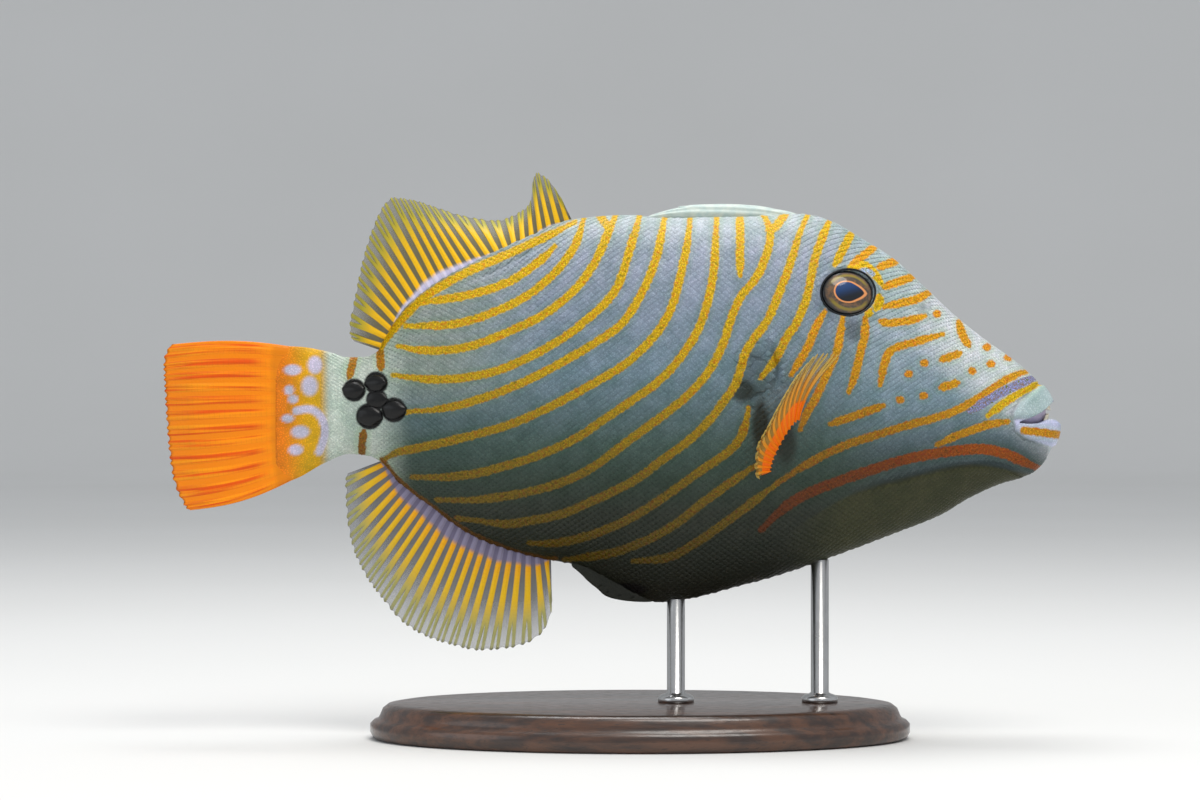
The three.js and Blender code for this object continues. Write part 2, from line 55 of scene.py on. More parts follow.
# The body's outline and width: x, then the value there
TAIL_X, SNOUT_X = -81.0, 93.2
BACK = [
    (-84, 87.4), (-76, 87.2), (-70, 86.2), (-64.7, 84.8), (-61, 84.9), (-58.4, 86.2), (-57, 88.8),
    (-54.3, 93.2), (-51.4, 96.8), (-44.3, 102.1), (-35.8, 106.6), (-24.7, 111.7), (-15.4, 115.3),
    (-3, 116.3), (8, 116), (24, 116.2), (35.6, 116.8), (42.5, 114.9), (49.2, 111.1), (56.1, 106.8),
    (63, 100.6), (69.9, 94.1), (76.8, 88.6), (83.4, 83.9), (88.6, 79.2), (90.6, 76.8), (91.7, 74.6),
    (92.7, 71.5), (SNOUT_X, 69.3),
]
BELLY = [
    (-84, 55), (-76, 57.8), (-70.1, 61.1), (-64.7, 63.1), (-60.1, 62.6), (-57.6, 61.2), (-53.6, 56.7),
    (-46.1, 51), (-38.3, 45.4), (-30.7, 42.2), (-22.9, 40), (-14, 38.4), (-6, 34.6), (0, 31.4), (4, 30.1),
    (10.9, 30.9), (20, 33.2), (30, 35.9), (41.4, 39.8), (58.7, 46.3), (66.8, 49.6), (73.6, 53.6),
    (80.1, 56.5), (86.3, 58.4), (89.3, 60.7), (91, 63.2), (92, 65.2), (92.8, 67), (SNOUT_X, 68.4),
]
HALF_WIDTH = [
    (-84, 0.5), (-80, 1.15), (-76, 2.2), (-70, 3.1), (-64.5, 3.9), (-57, 4.9), (-49, 6.4), (-31, 10),
    (-9, 13.6), (10, 15.3), (28, 16), (38, 15.3), (46, 13.8), (56, 11.6), (68, 9), (80, 6.8), (87, 5.5),
    (90.5, 4.3), (92.4, 2.6), (SNOUT_X, 0.4),
]
WIDEST_Z = [
    (-84, 72), (-76, 72.5), (-60, 74), (-30, 77), (14, 74), (40, 74), (60, 72), (80, 70), (SNOUT_X, 68.8),
]
# How each section narrows to its ridge: 2 is an ellipse, less is sharper, more is rounder
BACK_POWER = [
    (-84, 2), (-66, 1.8), (-40, 1.6), (-18, 2), (5, 2.5), (28, 2.6), (46, 2.4), (66, 2), (SNOUT_X, 2),
]
BELLY_POWER = [(-84, 2), (-66, 1.8), (-40, 1.5), (0, 1.5), (40, 1.6), (66, 1.9), (SNOUT_X, 2)]


def through(points, column=1):
    """A smooth curve through points that doesn't overshoot them."""
    xs = np.array([p[0] for p in points], float)
    ys = np.array([p[column] for p in points], float)
    rise = np.diff(ys) / np.diff(xs)
    slope = np.zeros_like(ys)
    slope[0], slope[-1] = rise[0], rise[-1]
    product = rise[1:] * rise[:-1]
    total = np.where(product > 0, rise[1:] + rise[:-1], 1)
    slope[1:-1] = np.where(product > 0, 2 * product / total, 0)

    def curve(x):
        x = np.clip(np.asarray(x, float), xs[0], xs[-1])
        i = np.clip(np.searchsorted(xs, x, side="right") - 1, 0, len(xs) - 2)
        width = xs[i + 1] - xs[i]
        t = (x - xs[i]) / width
        ends = (1 + 2 * t) * (1 - t) ** 2 * ys[i] + t * t * (3 - 2 * t) * ys[i + 1]
        return ends + t * (1 - t) ** 2 * width * slope[i] - t * t * (1 - t) * width * slope[i + 1]

    return curve


back, belly, half_width = through(BACK), through(BELLY), through(HALF_WIDTH)
widest_z, back_power, belly_power = through(WIDEST_Z), through(BACK_POWER), through(BELLY_POWER)


def mix(a, b, t):
    return a + (b - a) * t


def ease(low, high, value):
    """0 below low, 1 above high and smooth between."""
    t = np.clip((value - low) / (high - low), 0, 1)
    return t * t * (3 - 2 * t)


def photo(*points):
    """Places in the photograph, as x, z on the fish's middle plane."""
    return [((px - PHOTO_X) * PIXEL, (PHOTO_Z - py) * PIXEL) for px, py in points]


def seen(places):
    """Where the photograph shows a place, as x and z on the fish's middle plane. Both sides alike."""
    nearer = LENS["distance"] / (LENS["distance"] - np.abs(places[:, 1]))
    return (
        LENS["x"] + (places[:, 0] - LENS["x"]) * nearer,
        LENS["z"] + (places[:, 2] - LENS["z"]) * nearer,
    )


def loft(x, angle, grow=0.0):
    """The body's surface: angle 0 is the back, pi/2 the left side (+Y) and pi the belly."""
    up = np.cos(angle) > 0
    middle = widest_z(x)
    rise = np.where(up, back(x) + grow - middle, middle - belly(x) + grow)
    power = np.where(up, back_power(x), belly_power(x))
    wide = np.abs(np.sin(angle)) ** (2 / power) * (half_width(x) + grow)
    return np.stack([x + 0 * angle, np.sign(np.sin(angle)) * wide, middle + np.cos(angle) * rise], axis=1)


def outward(x, angle):
    """The direction straight out of the surface there."""
    step = 1e-3
    inner = np.clip(angle, 0.02, 2 * math.pi - 0.02)
    inner = np.where(np.abs(inner - math.pi) < 0.02, math.pi + 0.02 * np.sign(inner - math.pi + 1e-9), inner)
    along = loft(x + step, inner) - loft(x - step, inner)
    around = loft(x, inner + step) - loft(x, inner - step)
    normal = np.cross(along, around)
    on_middle = np.abs(np.sin(angle)) < 1e-6
    normal[on_middle, 1] = 0
    return normal / np.maximum(np.linalg.norm(normal, axis=1, keepdims=True), 1e-12)


def side_y(x, z):
    """Half the body's width at a place on its side view."""
    middle = float(widest_z(x))
    up = z > middle
    edge = float(back(x) if up else belly(x))
    power = float(back_power(x) if up else belly_power(x))
    share = (z - middle) / (edge - middle)
    return float(half_width(x)) * max(0.0, 1 - share * share) ** (1 / power)


def smooth_line(points, rounds=3):
    """A round line along given points: each round cuts every corner to its quarter points."""
    line = np.array(points, float)
    for _ in range(rounds if len(line) > 2 else 0):
        near, far = mix(line[:-1], line[1:], 0.25), mix(line[:-1], line[1:], 0.75)
        line = np.vstack([line[:1], np.stack([near, far], axis=1).reshape(-1, 2)[1:-1], line[-1:]])
    return line


def line_distance(px, pz, line, reach=1e9):
    """How far each place is from a line, and how far along the line its nearest point is, from 0 to 1."""
    best = np.full(px.shape, 1e3)
    along = np.zeros(px.shape)
    low, high = line.min(axis=0) - reach, line.max(axis=0) + reach
    near = np.nonzero((px > low[0]) & (px < high[0]) & (pz > low[1]) & (pz < high[1]))[0]
    x, z = px[near], pz[near]
    found, share = np.full(x.shape, 1e3), np.zeros(x.shape)
    spans = len(line) - 1
    for i, (a, b) in enumerate(zip(line, line[1:])):
        way = b - a
        t = np.clip(((x - a[0]) * way[0] + (z - a[1]) * way[1]) / max(way @ way, 1e-9), 0, 1)
        gap = np.hypot(x - a[0] - t * way[0], z - a[1] - t * way[1])
        closer = gap < found
        found[closer] = gap[closer]
        share[closer] = (i + t[closer]) / spans
    best[near], along[near] = found, share
    return best, along


def inside(px, pz, outline):
    """True where a place lies in a closed outline."""
    within = np.zeros(px.shape, bool)
    for (ax, az), (bx, bz) in zip(outline, np.roll(outline, -1, axis=0)):
        crosses = (az > pz) != (bz > pz)
        within ^= crosses & (px < (bx - ax) * (pz - az) / (bz - az + 1e-12) + ax)
    return within


def depth_inside(px, pz, outline):
    """The distance to an outline, above 0 inside it and below 0 outside."""
    closed = np.vstack([outline, outline[:1]])
    gap, _ = line_distance(px, pz, closed)
    return np.where(inside(px, pz, np.asarray(outline)), gap, -gap)


# The lines painted on the skin, as pixels of the photograph along each line's middle
GOLD_LINES = [
    [(381, 350), (388, 335), (400, 322), (415, 305), (430, 293), (450, 281), (475, 268), (500, 258),
     (525, 246), (550, 235), (575, 222)],
    [(420, 303), (440, 300), (459, 297), (481, 292), (499, 286), (515, 279), (529, 269), (545, 257),
     (555, 246)],
    [(405, 326), (430, 326), (450, 325), (470, 321), (489, 314), (509, 306), (529, 295), (549, 279),
     (563, 264), (572, 251), (579, 237), (584, 216)],
    [(398, 346), (415, 350), (440, 351), (465, 348), (489, 340), (515, 329), (539, 318), (558, 305),
     (576, 289), (590, 271), (600, 253), (606, 237), (611, 226), (617, 212)],
    [(610, 228), (604, 222), (598, 212)],
    [(393, 375), (420, 379), (445, 380), (470, 377), (499, 371), (530, 357), (545, 349), (568, 335),
     (588, 319), (606, 303), (617, 289), (625, 267), (631, 245), (636, 230), (641, 210)],
    [(406, 412), (446, 409), (488, 397), (530, 379.5), (565, 361), (600, 340), (621, 326), (637, 303),
     (649, 278.5), (657, 257), (661.5, 235), (666, 210)],
    [(384, 460), (396, 452), (419, 448), (446, 442), (506, 427), (553, 406), (600, 380), (625, 365),
     (646, 346), (661.5, 328), (674, 303), (681.5, 272), (688, 241.5), (691, 210)],
    [(412, 477), (441, 478), (476, 474), (499, 468), (535, 457), (577, 439), (600, 422), (631, 401.5),
     (661.5, 380), (683, 355), (698.5, 331), (708, 303), (714, 272), (715.5, 241.5), (717, 212)],
    [(437, 500), (469, 500.6), (499, 497.6), (529, 492), (558, 484), (578, 476), (600, 463), (631, 438.5),
     (661.5, 417), (689, 395), (708, 374), (723, 346), (732, 315), (741.5, 294), (757, 278.5), (766, 257),
     (771, 238), (768, 222), (760, 210)],
    [(770, 232), (780, 222), (787, 210)],
    [(740, 212), (740, 245), (740, 275)],
    [(457, 518), (489, 522.5), (509, 524.5), (539, 519.5), (568.5, 512.5), (588, 503), (608, 494),
     (640, 478), (661.5, 460), (689, 441.5), (711, 419), (723, 403), (731, 391.5), (737, 381),
     (741.5, 366), (745, 352), (755, 337), (768, 321), (780, 291), (791, 263), (798.5, 235), (809, 212)],
    [(529, 543), (553, 544), (578, 539), (608, 529.5), (640, 513.5), (671.5, 492), (700, 471), (717, 460),
     (729, 451.5), (740, 440), (746, 424), (748.5, 408)],
    [(761, 378), (771.5, 365), (778.5, 354.6), (786.5, 337), (796, 325), (801, 312), (806.6, 300),
     (810.8, 280), (815, 257), (825, 230), (832, 217)],
    [(564, 560), (588, 557), (618, 552), (640, 543), (654, 537), (678.5, 523), (703, 502), (727, 485),
     (740, 476), (754, 466.5)],
    [(633, 561), (668, 559), (692, 546), (720, 526.5), (748, 506), (775, 485)],
]
CHEEK_LINES = [
    [(775, 485), (803, 466), (834, 450), (851, 443), (882, 433), (912, 424), (943, 416), (960, 409),
     (984, 395), (998, 384.5), (1017, 374), (1029, 371)],
    [(791, 375), (799, 362), (806.6, 350), (811, 339.5), (816.6, 325.4), (825, 311)],
    [(843, 316), (840.6, 333), (837.5, 352), (828, 371), (815, 400), (807, 412), (800, 430)],
    [(865, 318), (865.5, 333.6), (861, 350), (856, 372), (849, 392)],
    [(875.5, 246.6), (860.5, 257.4), (850, 268)],
    [(898, 260), (879, 267.3)],
    [(915, 276), (895.4, 283), (884, 287)],
    [(932, 291), (916, 300), (899.5, 303), (884, 307)],
    [(925, 316), (908, 321), (887, 323.7), (880, 321)],
    [(880, 385), (883, 368), (888, 352), (899, 346), (916, 342), (943, 334)],
    [(958.5, 321.5), (963, 337), (969, 346)],
    [(941, 359.6), (960, 353.5)],
    [(940, 388), (958, 382.4)],
    [(830.6, 424), (857, 415), (883.7, 405.5)],
    [(937, 445), (958, 435), (974, 429.5), (989, 424), (1008, 421.5)],
]
UPPER_CHEEK_LINES = [
    [(853, 231), (841.5, 252.4), (834.8, 265)],
]
CRESCENT_LINES = [
    [(849, 267.5), (857, 264), (866, 265.5), (874, 273), (881, 283)],
    [(879, 296), (880, 302), (876, 309)],
    [(870, 311), (868, 315)],
]
# A painted highlight: the sky's pale blue reflected on top of the eye's raised rim
RIM_HIGHLIGHT_LINES = [[(860, 271.5), (867, 271), (873, 274.5)]]
SNOUT_LINES = [[(1042, 382), (1022, 391.2), (1010, 399), (998, 407.5), (987.7, 416)]]
THROAT_LINES = [
    [(761, 530), (782, 509), (803, 495), (841, 480), (871, 470), (902, 460), (933, 453.5), (960, 450),
     (979, 448.7), (993.5, 450.6), (1008, 454.4), (1022, 461), (1042, 470)],
]
LIP_LINES = [[(1024, 430.5), (1042, 432.5), (1064, 436)]]
RIDGE_LINES = [
    [(382, 459), (399, 483), (416, 497), (433, 509), (450, 522), (468, 534), (485, 541.5), (502, 548.5),
     (519, 554.5), (537, 559), (556, 559)],
    [(355, 352), (352, 366), (349, 378)],
    [(364, 431), (362, 442), (362, 456)],
    [(380, 350), (381, 369)],
]
DOTS = [
    (909, 374), (924.5, 363), (972.4, 371), (991, 364), (987, 347), (1008, 357.6), (900, 400), (923.5, 396),
    (937, 314),
]
LINE_HALF = {
    "gold": 0.96, "cheek": 0.93, "snout": 0.9, "throat": 1.15, "lip": 0.9, "ridge": 0.9, "dot": 0.85,
    "crescent": 1.05, "rim_highlight": 0.8, "lavender": 1.1,
}
LINE_COLOURS = {
    "gold": (228, 190, 8), "cheek": (240, 178, 16), "snout": (250, 212, 20), "throat": (206, 108, 4),
    "lip": (250, 182, 24), "ridge": (206, 146, 4), "dot": (244, 170, 24), "crescent": (240, 204, 8),
    "rim_highlight": (176, 200, 240), "lavender": (164, 172, 236),
}
# How bright the lines are by height: the light comes from above
LINE_SHADE = [(42, 0.13), (58, 0.25), (70, 0.48), (82, 0.8), (96, 1.0), (116, 1.15)]
LAVENDER_LINES = [[(1036, 377), (1014, 386), (992, 398), (970, 412)]]

# The skin's ground colours by height, from the belly's keel up to the back: the fish's own darker belly and
# paler back, with painted shade on the lower flank and belly and painted light on the back, as the light
# comes from above
FLANK_LIGHT_AND_SHADE = [
    (33, (30, 30, 20)), (50, (45, 50, 40)), (58, (55, 70, 60)), (66, (75, 95, 90)),
    (82, (125, 145, 160)), (98, (155, 165, 185)), (108, (175, 180, 200)), (116, (210, 215, 220)),
]
# The head's ground colours by height, from the throat up to the crown: its own colours with painted shade low
# down and painted light on top, as the light comes from above
HEAD_LIGHT_AND_SHADE = [
    (52, (45, 50, 35)), (64, (80, 95, 100)), (76, (140, 160, 175)), (92, (185, 195, 210)),
    (106, (205, 215, 220)),
]
SNOUT_PALE_AND_HIGHLIGHT, CHIN_COLOUR, REAR_COLOUR = (240, 238, 244), (62, 62, 34), (168, 170, 142)
LIP_COLOUR, LOWER_LIP_COLOUR, SPOT_COLOUR = (184, 202, 204), (212, 210, 246), (218, 206, 230)
TAIL_ROOT_COLOUR, TAIL_ORANGE, PALE_BAND = (240, 178, 12), (255, 134, 2), (228, 234, 222)
PATCH_COLOUR, GILL_SHADOW_COLOUR, MOUTH_AND_SHADE_COLOUR = (6, 6, 6), (34, 38, 26), (150, 140, 176)
# The black knobs of the tail's root: middle and radius
TAIL_PATCH = [
    ((-63.6, 77.4), 2.3), ((-58.7, 79), 2.3), ((-60.2, 71.6), 2.7), ((-54.8, 73), 2.5), ((-58.6, 75.3), 2.1),
]
# Dark places of the flank about the gill slit and the pectoral fin's root, and one below the eye: painted
# shadow over darker olive skin. Middle, half width, half height and strength
GILL_SHADOW_PATCHES = [
    ((25.4, 81), 3.9, 6.8, 0.45), ((22.8, 77.2), 3.2, 2.8, 0.85), ((26.8, 69.6), 2.2, 6.2, 0.9),
    ((32.6, 65.4), 2.6, 5.2, 0.8), ((47.6, 90.6), 2.4, 2.6, 0.55),
]
TAIL_SPOTS = [
    ((-72.3, 83), 1.6, 2.0), ((-77.3, 81.9), 1.9, 1.2), ((-73.5, 78.3), 1.8, 2.2), ((-78.1, 77.4), 1.1, 1.1),
    ((-77.2, 75.4), 1.1, 1.0), ((-78.4, 71.1), 1.4, 0.9), ((-75.6, 68.1), 2.0, 1.4),
    ((-76.6, 64.1), 1.6, 1.2),
]
TAIL_ARCH = photo((296, 411), (309, 408), (320, 414), (325.5, 427), (324, 440), (319, 452))

# Forms of the head and flank, as x, z on the middle plane
EYE = {"x": 46.1, "z": 99.0, "socket": 5.7, "rim": 6.6, "flat": 1.18}
MOUTH_CORNER_X, MOUTH_END_X = 83.6, 98.0
MOUTH_TOP = [(83.6, 70.35), (86.1, 71.15), (88.2, 72.2), (89.5, 73), (91, 74.3), (92.5, 75.2), (98, 76.5)]
MOUTH_BOTTOM = [
    (83.6, 70.15), (86, 69.95), (88.4, 70.1), (89.6, 70.7), (90.6, 71.1), (92, 70.9), (93.3, 70), (98, 69),
]
UPPER_LIP = [(83, 71), (83.2, 72.8), (84.7, 75), (86.8, 76.8), (88.8, 78.6), (90.4, 80.6), (99, 82), (99, 71)]
LOWER_LIP = [(83, 71), (83.6, 68.4), (85.4, 66.8), (88.2, 65.8), (91.7, 64.6), (95, 63), (99, 63), (99, 71)]
GILL_SLIT = photo((770, 343), (776, 358), (778.5, 372), (774, 391))
CHIN_CREASE = photo(
    (1026.5, 476), (1012, 468), (994, 463.7), (973.5, 463.7), (943, 468), (912, 476), (882, 484), (857, 492),
)
NOSTRILS = photo((917, 301), (924, 308))
DORSAL_FOLD = photo((469, 283), (500, 268), (529, 251), (560, 236))


def eye_distance(px, pz):
    """How far each place is from the eye's middle, on ovals as wide as the distance."""
    return np.hypot(px - EYE["x"], (pz - EYE["z"]) * EYE["flat"])


def relief(px, pz, y):
    """How far the skin stands out of the plain loft, in millimetres."""
    out = np.zeros(px.shape)
    r = eye_distance(px, pz)
    out += 0.95 * np.exp(-((r - EYE["rim"]) / 0.8) ** 2)
    out -= 2.4 * ease(EYE["socket"], EYE["socket"] - 1.2, r)
    out += 0.35 * np.exp(-((r - 8.2) / 0.7) ** 2) * ease(0, 3, px - EYE["x"])
    for outline in (UPPER_LIP, LOWER_LIP):
        depth = depth_inside(px, pz, outline)
        out += 0.55 * ease(0, 1.1, depth)
        out -= 0.3 * np.exp(-((depth + 0.1) / 0.4) ** 2) * ease(90.5, 88, px)
    for line, deep, wide in ((GILL_SLIT, 1.3, 0.38), (CHIN_CREASE, 0.55, 0.5), (DORSAL_FOLD, 0.35, 0.5)):
        gap, along = line_distance(px, pz, smooth_line(line), 4)
        ends = ease(0, 0.12, along) * ease(1, 0.88, along)
        out -= deep * np.exp(-((gap / wide) ** 2)) * ends
        out += 0.25 * deep * np.exp(-(((gap - 1.4) / 0.7) ** 2)) * ends
    for x, z in NOSTRILS:
        gap = np.hypot(px - x, pz - z)
        out += 0.22 * np.exp(-((gap - 0.95) / 0.3) ** 2)
        out -= 0.8 * np.exp(-((gap / 0.5) ** 2))
    groove = ease(1.5, 5, px) * ease(38.5, 35, px) * (pz > 100)
    out -= 1.5 * groove * ease(2.7, 2.1, np.abs(y))
    return out


def raised(places, normals, extra=0.0):
    px, pz = seen(places)
    return places + normals * (relief(px, pz, places[:, 1]) + extra)[:, None]


def linear(colour):
    c = np.array(colour, float) / 255
    return np.where(c <= 0.04045, c / 12.92, ((c + 0.055) / 1.055) ** 2.4)


LINE_SETS = [
    ("gold", GOLD_LINES), ("gold", UPPER_CHEEK_LINES), ("cheek", CHEEK_LINES), ("snout", SNOUT_LINES),
    ("throat", THROAT_LINES), ("lip", LIP_LINES), ("ridge", RIDGE_LINES),
    ("dot", [[(x - 0.5, y), (x + 0.5, y)] for x, y in DOTS]),
    ("crescent", CRESCENT_LINES), ("rim_highlight", RIM_HIGHLIGHT_LINES), ("lavender", LAVENDER_LINES),
]


def markings(px, pz):
    """The distance from the edge of the nearest painted line, below 0 on it, and that line's colour, with
    painted light and shade by height.
    """
    edge = np.full(px.shape, 5.0)
    colour = np.tile(linear(LINE_COLOURS["gold"]), (len(px), 1))
    for kind, lines in LINE_SETS:
        for points in lines:
            gap, along = line_distance(px, pz, smooth_line(photo(*points)), 4)
            taper = 1.0
            if kind not in ("dot", "lip"):
                taper = 0.62 + 0.38 * ease(0, 0.08, along) * ease(1, 0.92, along)
            gap = gap - LINE_HALF[kind] * taper
            nearer = gap < (0 if kind in ("rim_highlight", "lavender") else edge)
            edge[nearer] = gap[nearer]
            colour[nearer] = linear(LINE_COLOURS[kind])
    # Painted shade and light: lines darker low on the flank and brighter on the back, with the head's lines
    # kept a little brighter
    height = pz + 9 * ease(52, 80, px)
    colour *= np.interp(height, [h for h, _ in LINE_SHADE], [share for _, share in LINE_SHADE])[:, None]
    return edge, np.minimum(colour, 1.0)


def ground_colour(px, pz, y):
    """The skin's colour between the painted lines, painted light and shade included."""
    def by_height(stops):
        heights, colours = [h for h, _ in stops], np.array([linear(c) for _, c in stops])
        return np.stack([np.interp(pz, heights, colours[:, i]) for i in range(3)], axis=1)

    # Ground colours by height, painted light and shade included: the flank's ramp behind, the head's ahead
    ahead = ease(40, 58, px)[:, None]
    ground = by_height(FLANK_LIGHT_AND_SHADE) * (1 - ahead) + by_height(HEAD_LIGHT_AND_SHADE) * ahead

    def lay(colour, share):
        ground[:] = ground + (linear(colour) - ground) * np.clip(share, 0, 1)[:, None]

    crease = through([(30, 44), (48.3, 54.7), (60.5, 58.3), (74.2, 61), (86, 58.9), (94, 57)])
    below = ease(0.4, -0.6, pz - crease(px)) * ease(30, 48, px)
    lay(REAR_COLOUR, 0.5 * ease(-18, -48, px) * ease(70, 82, pz))
    # Pale top of the snout: partly the head's own pale colour, partly painted highlight from the light above
    lay(SNOUT_PALE_AND_HIGHLIGHT, 0.95 * ease(20, 6, back(px) - pz) * ease(54, 70, px))
    lay(CHIN_COLOUR, below)
    lay(LIP_COLOUR, ease(-0.2, 0.5, depth_inside(px, pz, UPPER_LIP)) * 0.9)
    lay(LOWER_LIP_COLOUR, ease(-0.2, 0.5, depth_inside(px, pz, LOWER_LIP)) * 0.9)
    lay(PALE_BAND, ease(-50, -60, px) * 0.7)
    lay(PALE_BAND, np.exp(-(((px + 67.5) / 2.4) ** 2)) * 0.9)
    lay(TAIL_ROOT_COLOUR, ease(-68.8, -71.5, px))
    lay(TAIL_ORANGE, ease(-73, -80.5, px))
    for (x, z), wide, tall in TAIL_SPOTS:
        lay(SPOT_COLOUR, ease(1.25, 0.75, np.hypot((px - x) / wide, (pz - z) / tall)))
    gap, _ = line_distance(px, pz, smooth_line(TAIL_ARCH), 4)
    lay(SPOT_COLOUR, ease(1.15, 0.6, gap))
    # Painted shadow about the gill slit and the pectoral fin's root, and below the eye
    for (x, z), wide, tall, strength in GILL_SHADOW_PATCHES:
        lay(GILL_SHADOW_COLOUR, strength * ease(1.25, 0.5, np.hypot((px - x) / wide, (pz - z) / tall)))
    patch = np.full(px.shape, 9.0)
    for (x, z), radius in TAIL_PATCH:
        patch = np.minimum(patch, np.hypot(px - x, pz - z) - radius)
    lay(PATCH_COLOUR, ease(0.5, 0.1, patch))
    lay(PATCH_COLOUR, ease(1.3, 0.7, np.hypot((px + 3) / 4.6, (pz - 33) / 1.5)))
    r = eye_distance(px, pz)
    lay(PATCH_COLOUR, ease(5.95, 5.75, r))
    return ground, patch


def paint(mesh, tone_and_shade=None):
    """Sets the attributes that the skin's material reads, from where each corner of the mesh lies."""
    places = np.empty(len(mesh.vertices) * 3)
    mesh.vertices.foreach_get("co", places)
    places = places.reshape(-1, 3) / MM
    px, pz = seen(places)
    edge, line = markings(px, pz)
    ground, patch = ground_colour(px, pz, places[:, 1])
    # The lips' faces inside the mouth gap: the mouth's lavender, darkened as painted shade of the gap
    top, bottom = through(MOUTH_TOP), through(MOUTH_BOTTOM)
    within = (px > MOUTH_CORNER_X) & (pz < top(px) + 0.12) & (pz > bottom(px) - 0.12)
    dark = within & (np.abs(places[:, 1]) < half_width(px) - 0.9)
    ground[dark] = linear(MOUTH_AND_SHADE_COLOUR)
    edge = np.where(dark | (patch < 0.2), 5.0, edge)
    # Darkens the ground: on the skin, painted shade between the scales; on the scales, their random tone
    if tone_and_shade is not None:
        ground *= tone_and_shade[:, None]
    count = len(places)
    for name, values in (("ground", ground), ("line", line)):
        layer = mesh.attributes.new(name, "FLOAT_COLOR", "POINT")
        layer.data.foreach_set("color", np.hstack([values, np.ones((count, 1))]).astype(np.float32).ravel())
    layer = mesh.attributes.new("edge", "FLOAT", "POINT")
    layer.data.foreach_set("value", edge.astype(np.float32))


# Node trees
def new_material(name):
    made = bpy.data.materials.new(name)
    made.use_nodes = True
    tree = made.node_tree
    tree.nodes.clear()
    shader = tree.nodes.new("ShaderNodeBsdfPrincipled")
    output = tree.nodes.new("ShaderNodeOutputMaterial")
    tree.links.new(shader.outputs["BSDF"], output.inputs["Surface"])
    return made, tree, shader


def node(tree, kind, **settings):
    made = tree.nodes.new(kind)
    for key, value in settings.items():
        if key.startswith("in_"):
            made.inputs[int(key[3:])].default_value = value
        else:
            setattr(made, key, value)
    return made


def math_node(tree, operation, a, b=0.0, c=0.0, clamp=False):
    made = tree.nodes.new("ShaderNodeMath")
    made.operation, made.use_clamp = operation, clamp
    for i, value in enumerate((a, b, c)):
        if isinstance(value, bpy.types.NodeSocket):
            tree.links.new(value, made.inputs[i])
        else:
            made.inputs[i].default_value = value
    return made.outputs[0]


def blend_colours(tree, share, a, b, way="MIX"):
    made = tree.nodes.new("ShaderNodeMix")
    made.data_type, made.blend_type = "RGBA", way
    for socket, value in ((0, share), (6, a), (7, b)):
        if isinstance(value, bpy.types.NodeSocket):
            tree.links.new(value, made.inputs[socket])
        elif socket == 0:
            made.inputs[0].default_value = value
        else:
            made.inputs[socket].default_value = (*linear(value), 1)
    return made.outputs[2]


def ramp(tree, value, low, high, start=0.0, end=1.0):
    made = tree.nodes.new("ShaderNodeMapRange")
    made.interpolation_type = "SMOOTHSTEP"
    tree.links.new(value, made.inputs[0])
    for i, number in enumerate((low, high, start, end)):
        made.inputs[i + 1].default_value = number
    return made.outputs[0]


def noise(tree, place, size_mm, detail=3.0, rough=0.5):
    made = node(tree, "ShaderNodeTexNoise")
    made.inputs["Scale"].default_value = 1000 / size_mm
    made.inputs["Detail"].default_value = detail
    made.inputs["Roughness"].default_value = rough
    tree.links.new(place, made.inputs["Vector"])
    return made.outputs[0]


def granules(tree, place, size_mm):
    """Rounded grains: 1 at each grain's middle."""
    made = node(tree, "ShaderNodeTexVoronoi")
    made.inputs["Scale"].default_value = 1000 / size_mm
    tree.links.new(place, made.inputs["Vector"])
    return ramp(tree, made.outputs["Distance"], 0.62, 0.1)


def bump(tree, shader, height, depth_mm, strength=1.0):
    made = tree.nodes.new("ShaderNodeBump")
    made.inputs["Strength"].default_value = strength
    made.inputs["Distance"].default_value = depth_mm * MM
    tree.links.new(height, made.inputs["Height"])
    tree.links.new(made.outputs[0], shader.inputs["Normal"])


def group(name, inputs, outputs, build):
    """A shared effect as a node group. build(tree, inputs) gives the outputs' sockets."""
    made = bpy.data.node_groups.new(name, "ShaderNodeTree")
    for label, kind in inputs:
        made.interface.new_socket(label, in_out="INPUT", socket_type=kind)
    for label, kind in outputs:
        made.interface.new_socket(label, in_out="OUTPUT", socket_type=kind)
    entry, leave = made.nodes.new("NodeGroupInput"), made.nodes.new("NodeGroupOutput")
    for socket, value in zip(leave.inputs, build(made, entry.outputs)):
        made.links.new(value, socket)
    return made


def build_grain(tree, inputs):
    grains = granules(tree, inputs["Place"], 0.42)
    cloud = noise(tree, inputs["Place"], 5.0, 4.0, 0.6)
    return grains, cloud


grain_group = group(
    "skin grain", [("Place", "NodeSocketVector")],
    [("Grains", "NodeSocketFloat"), ("Cloud", "NodeSocketFloat")], build_grain,
)


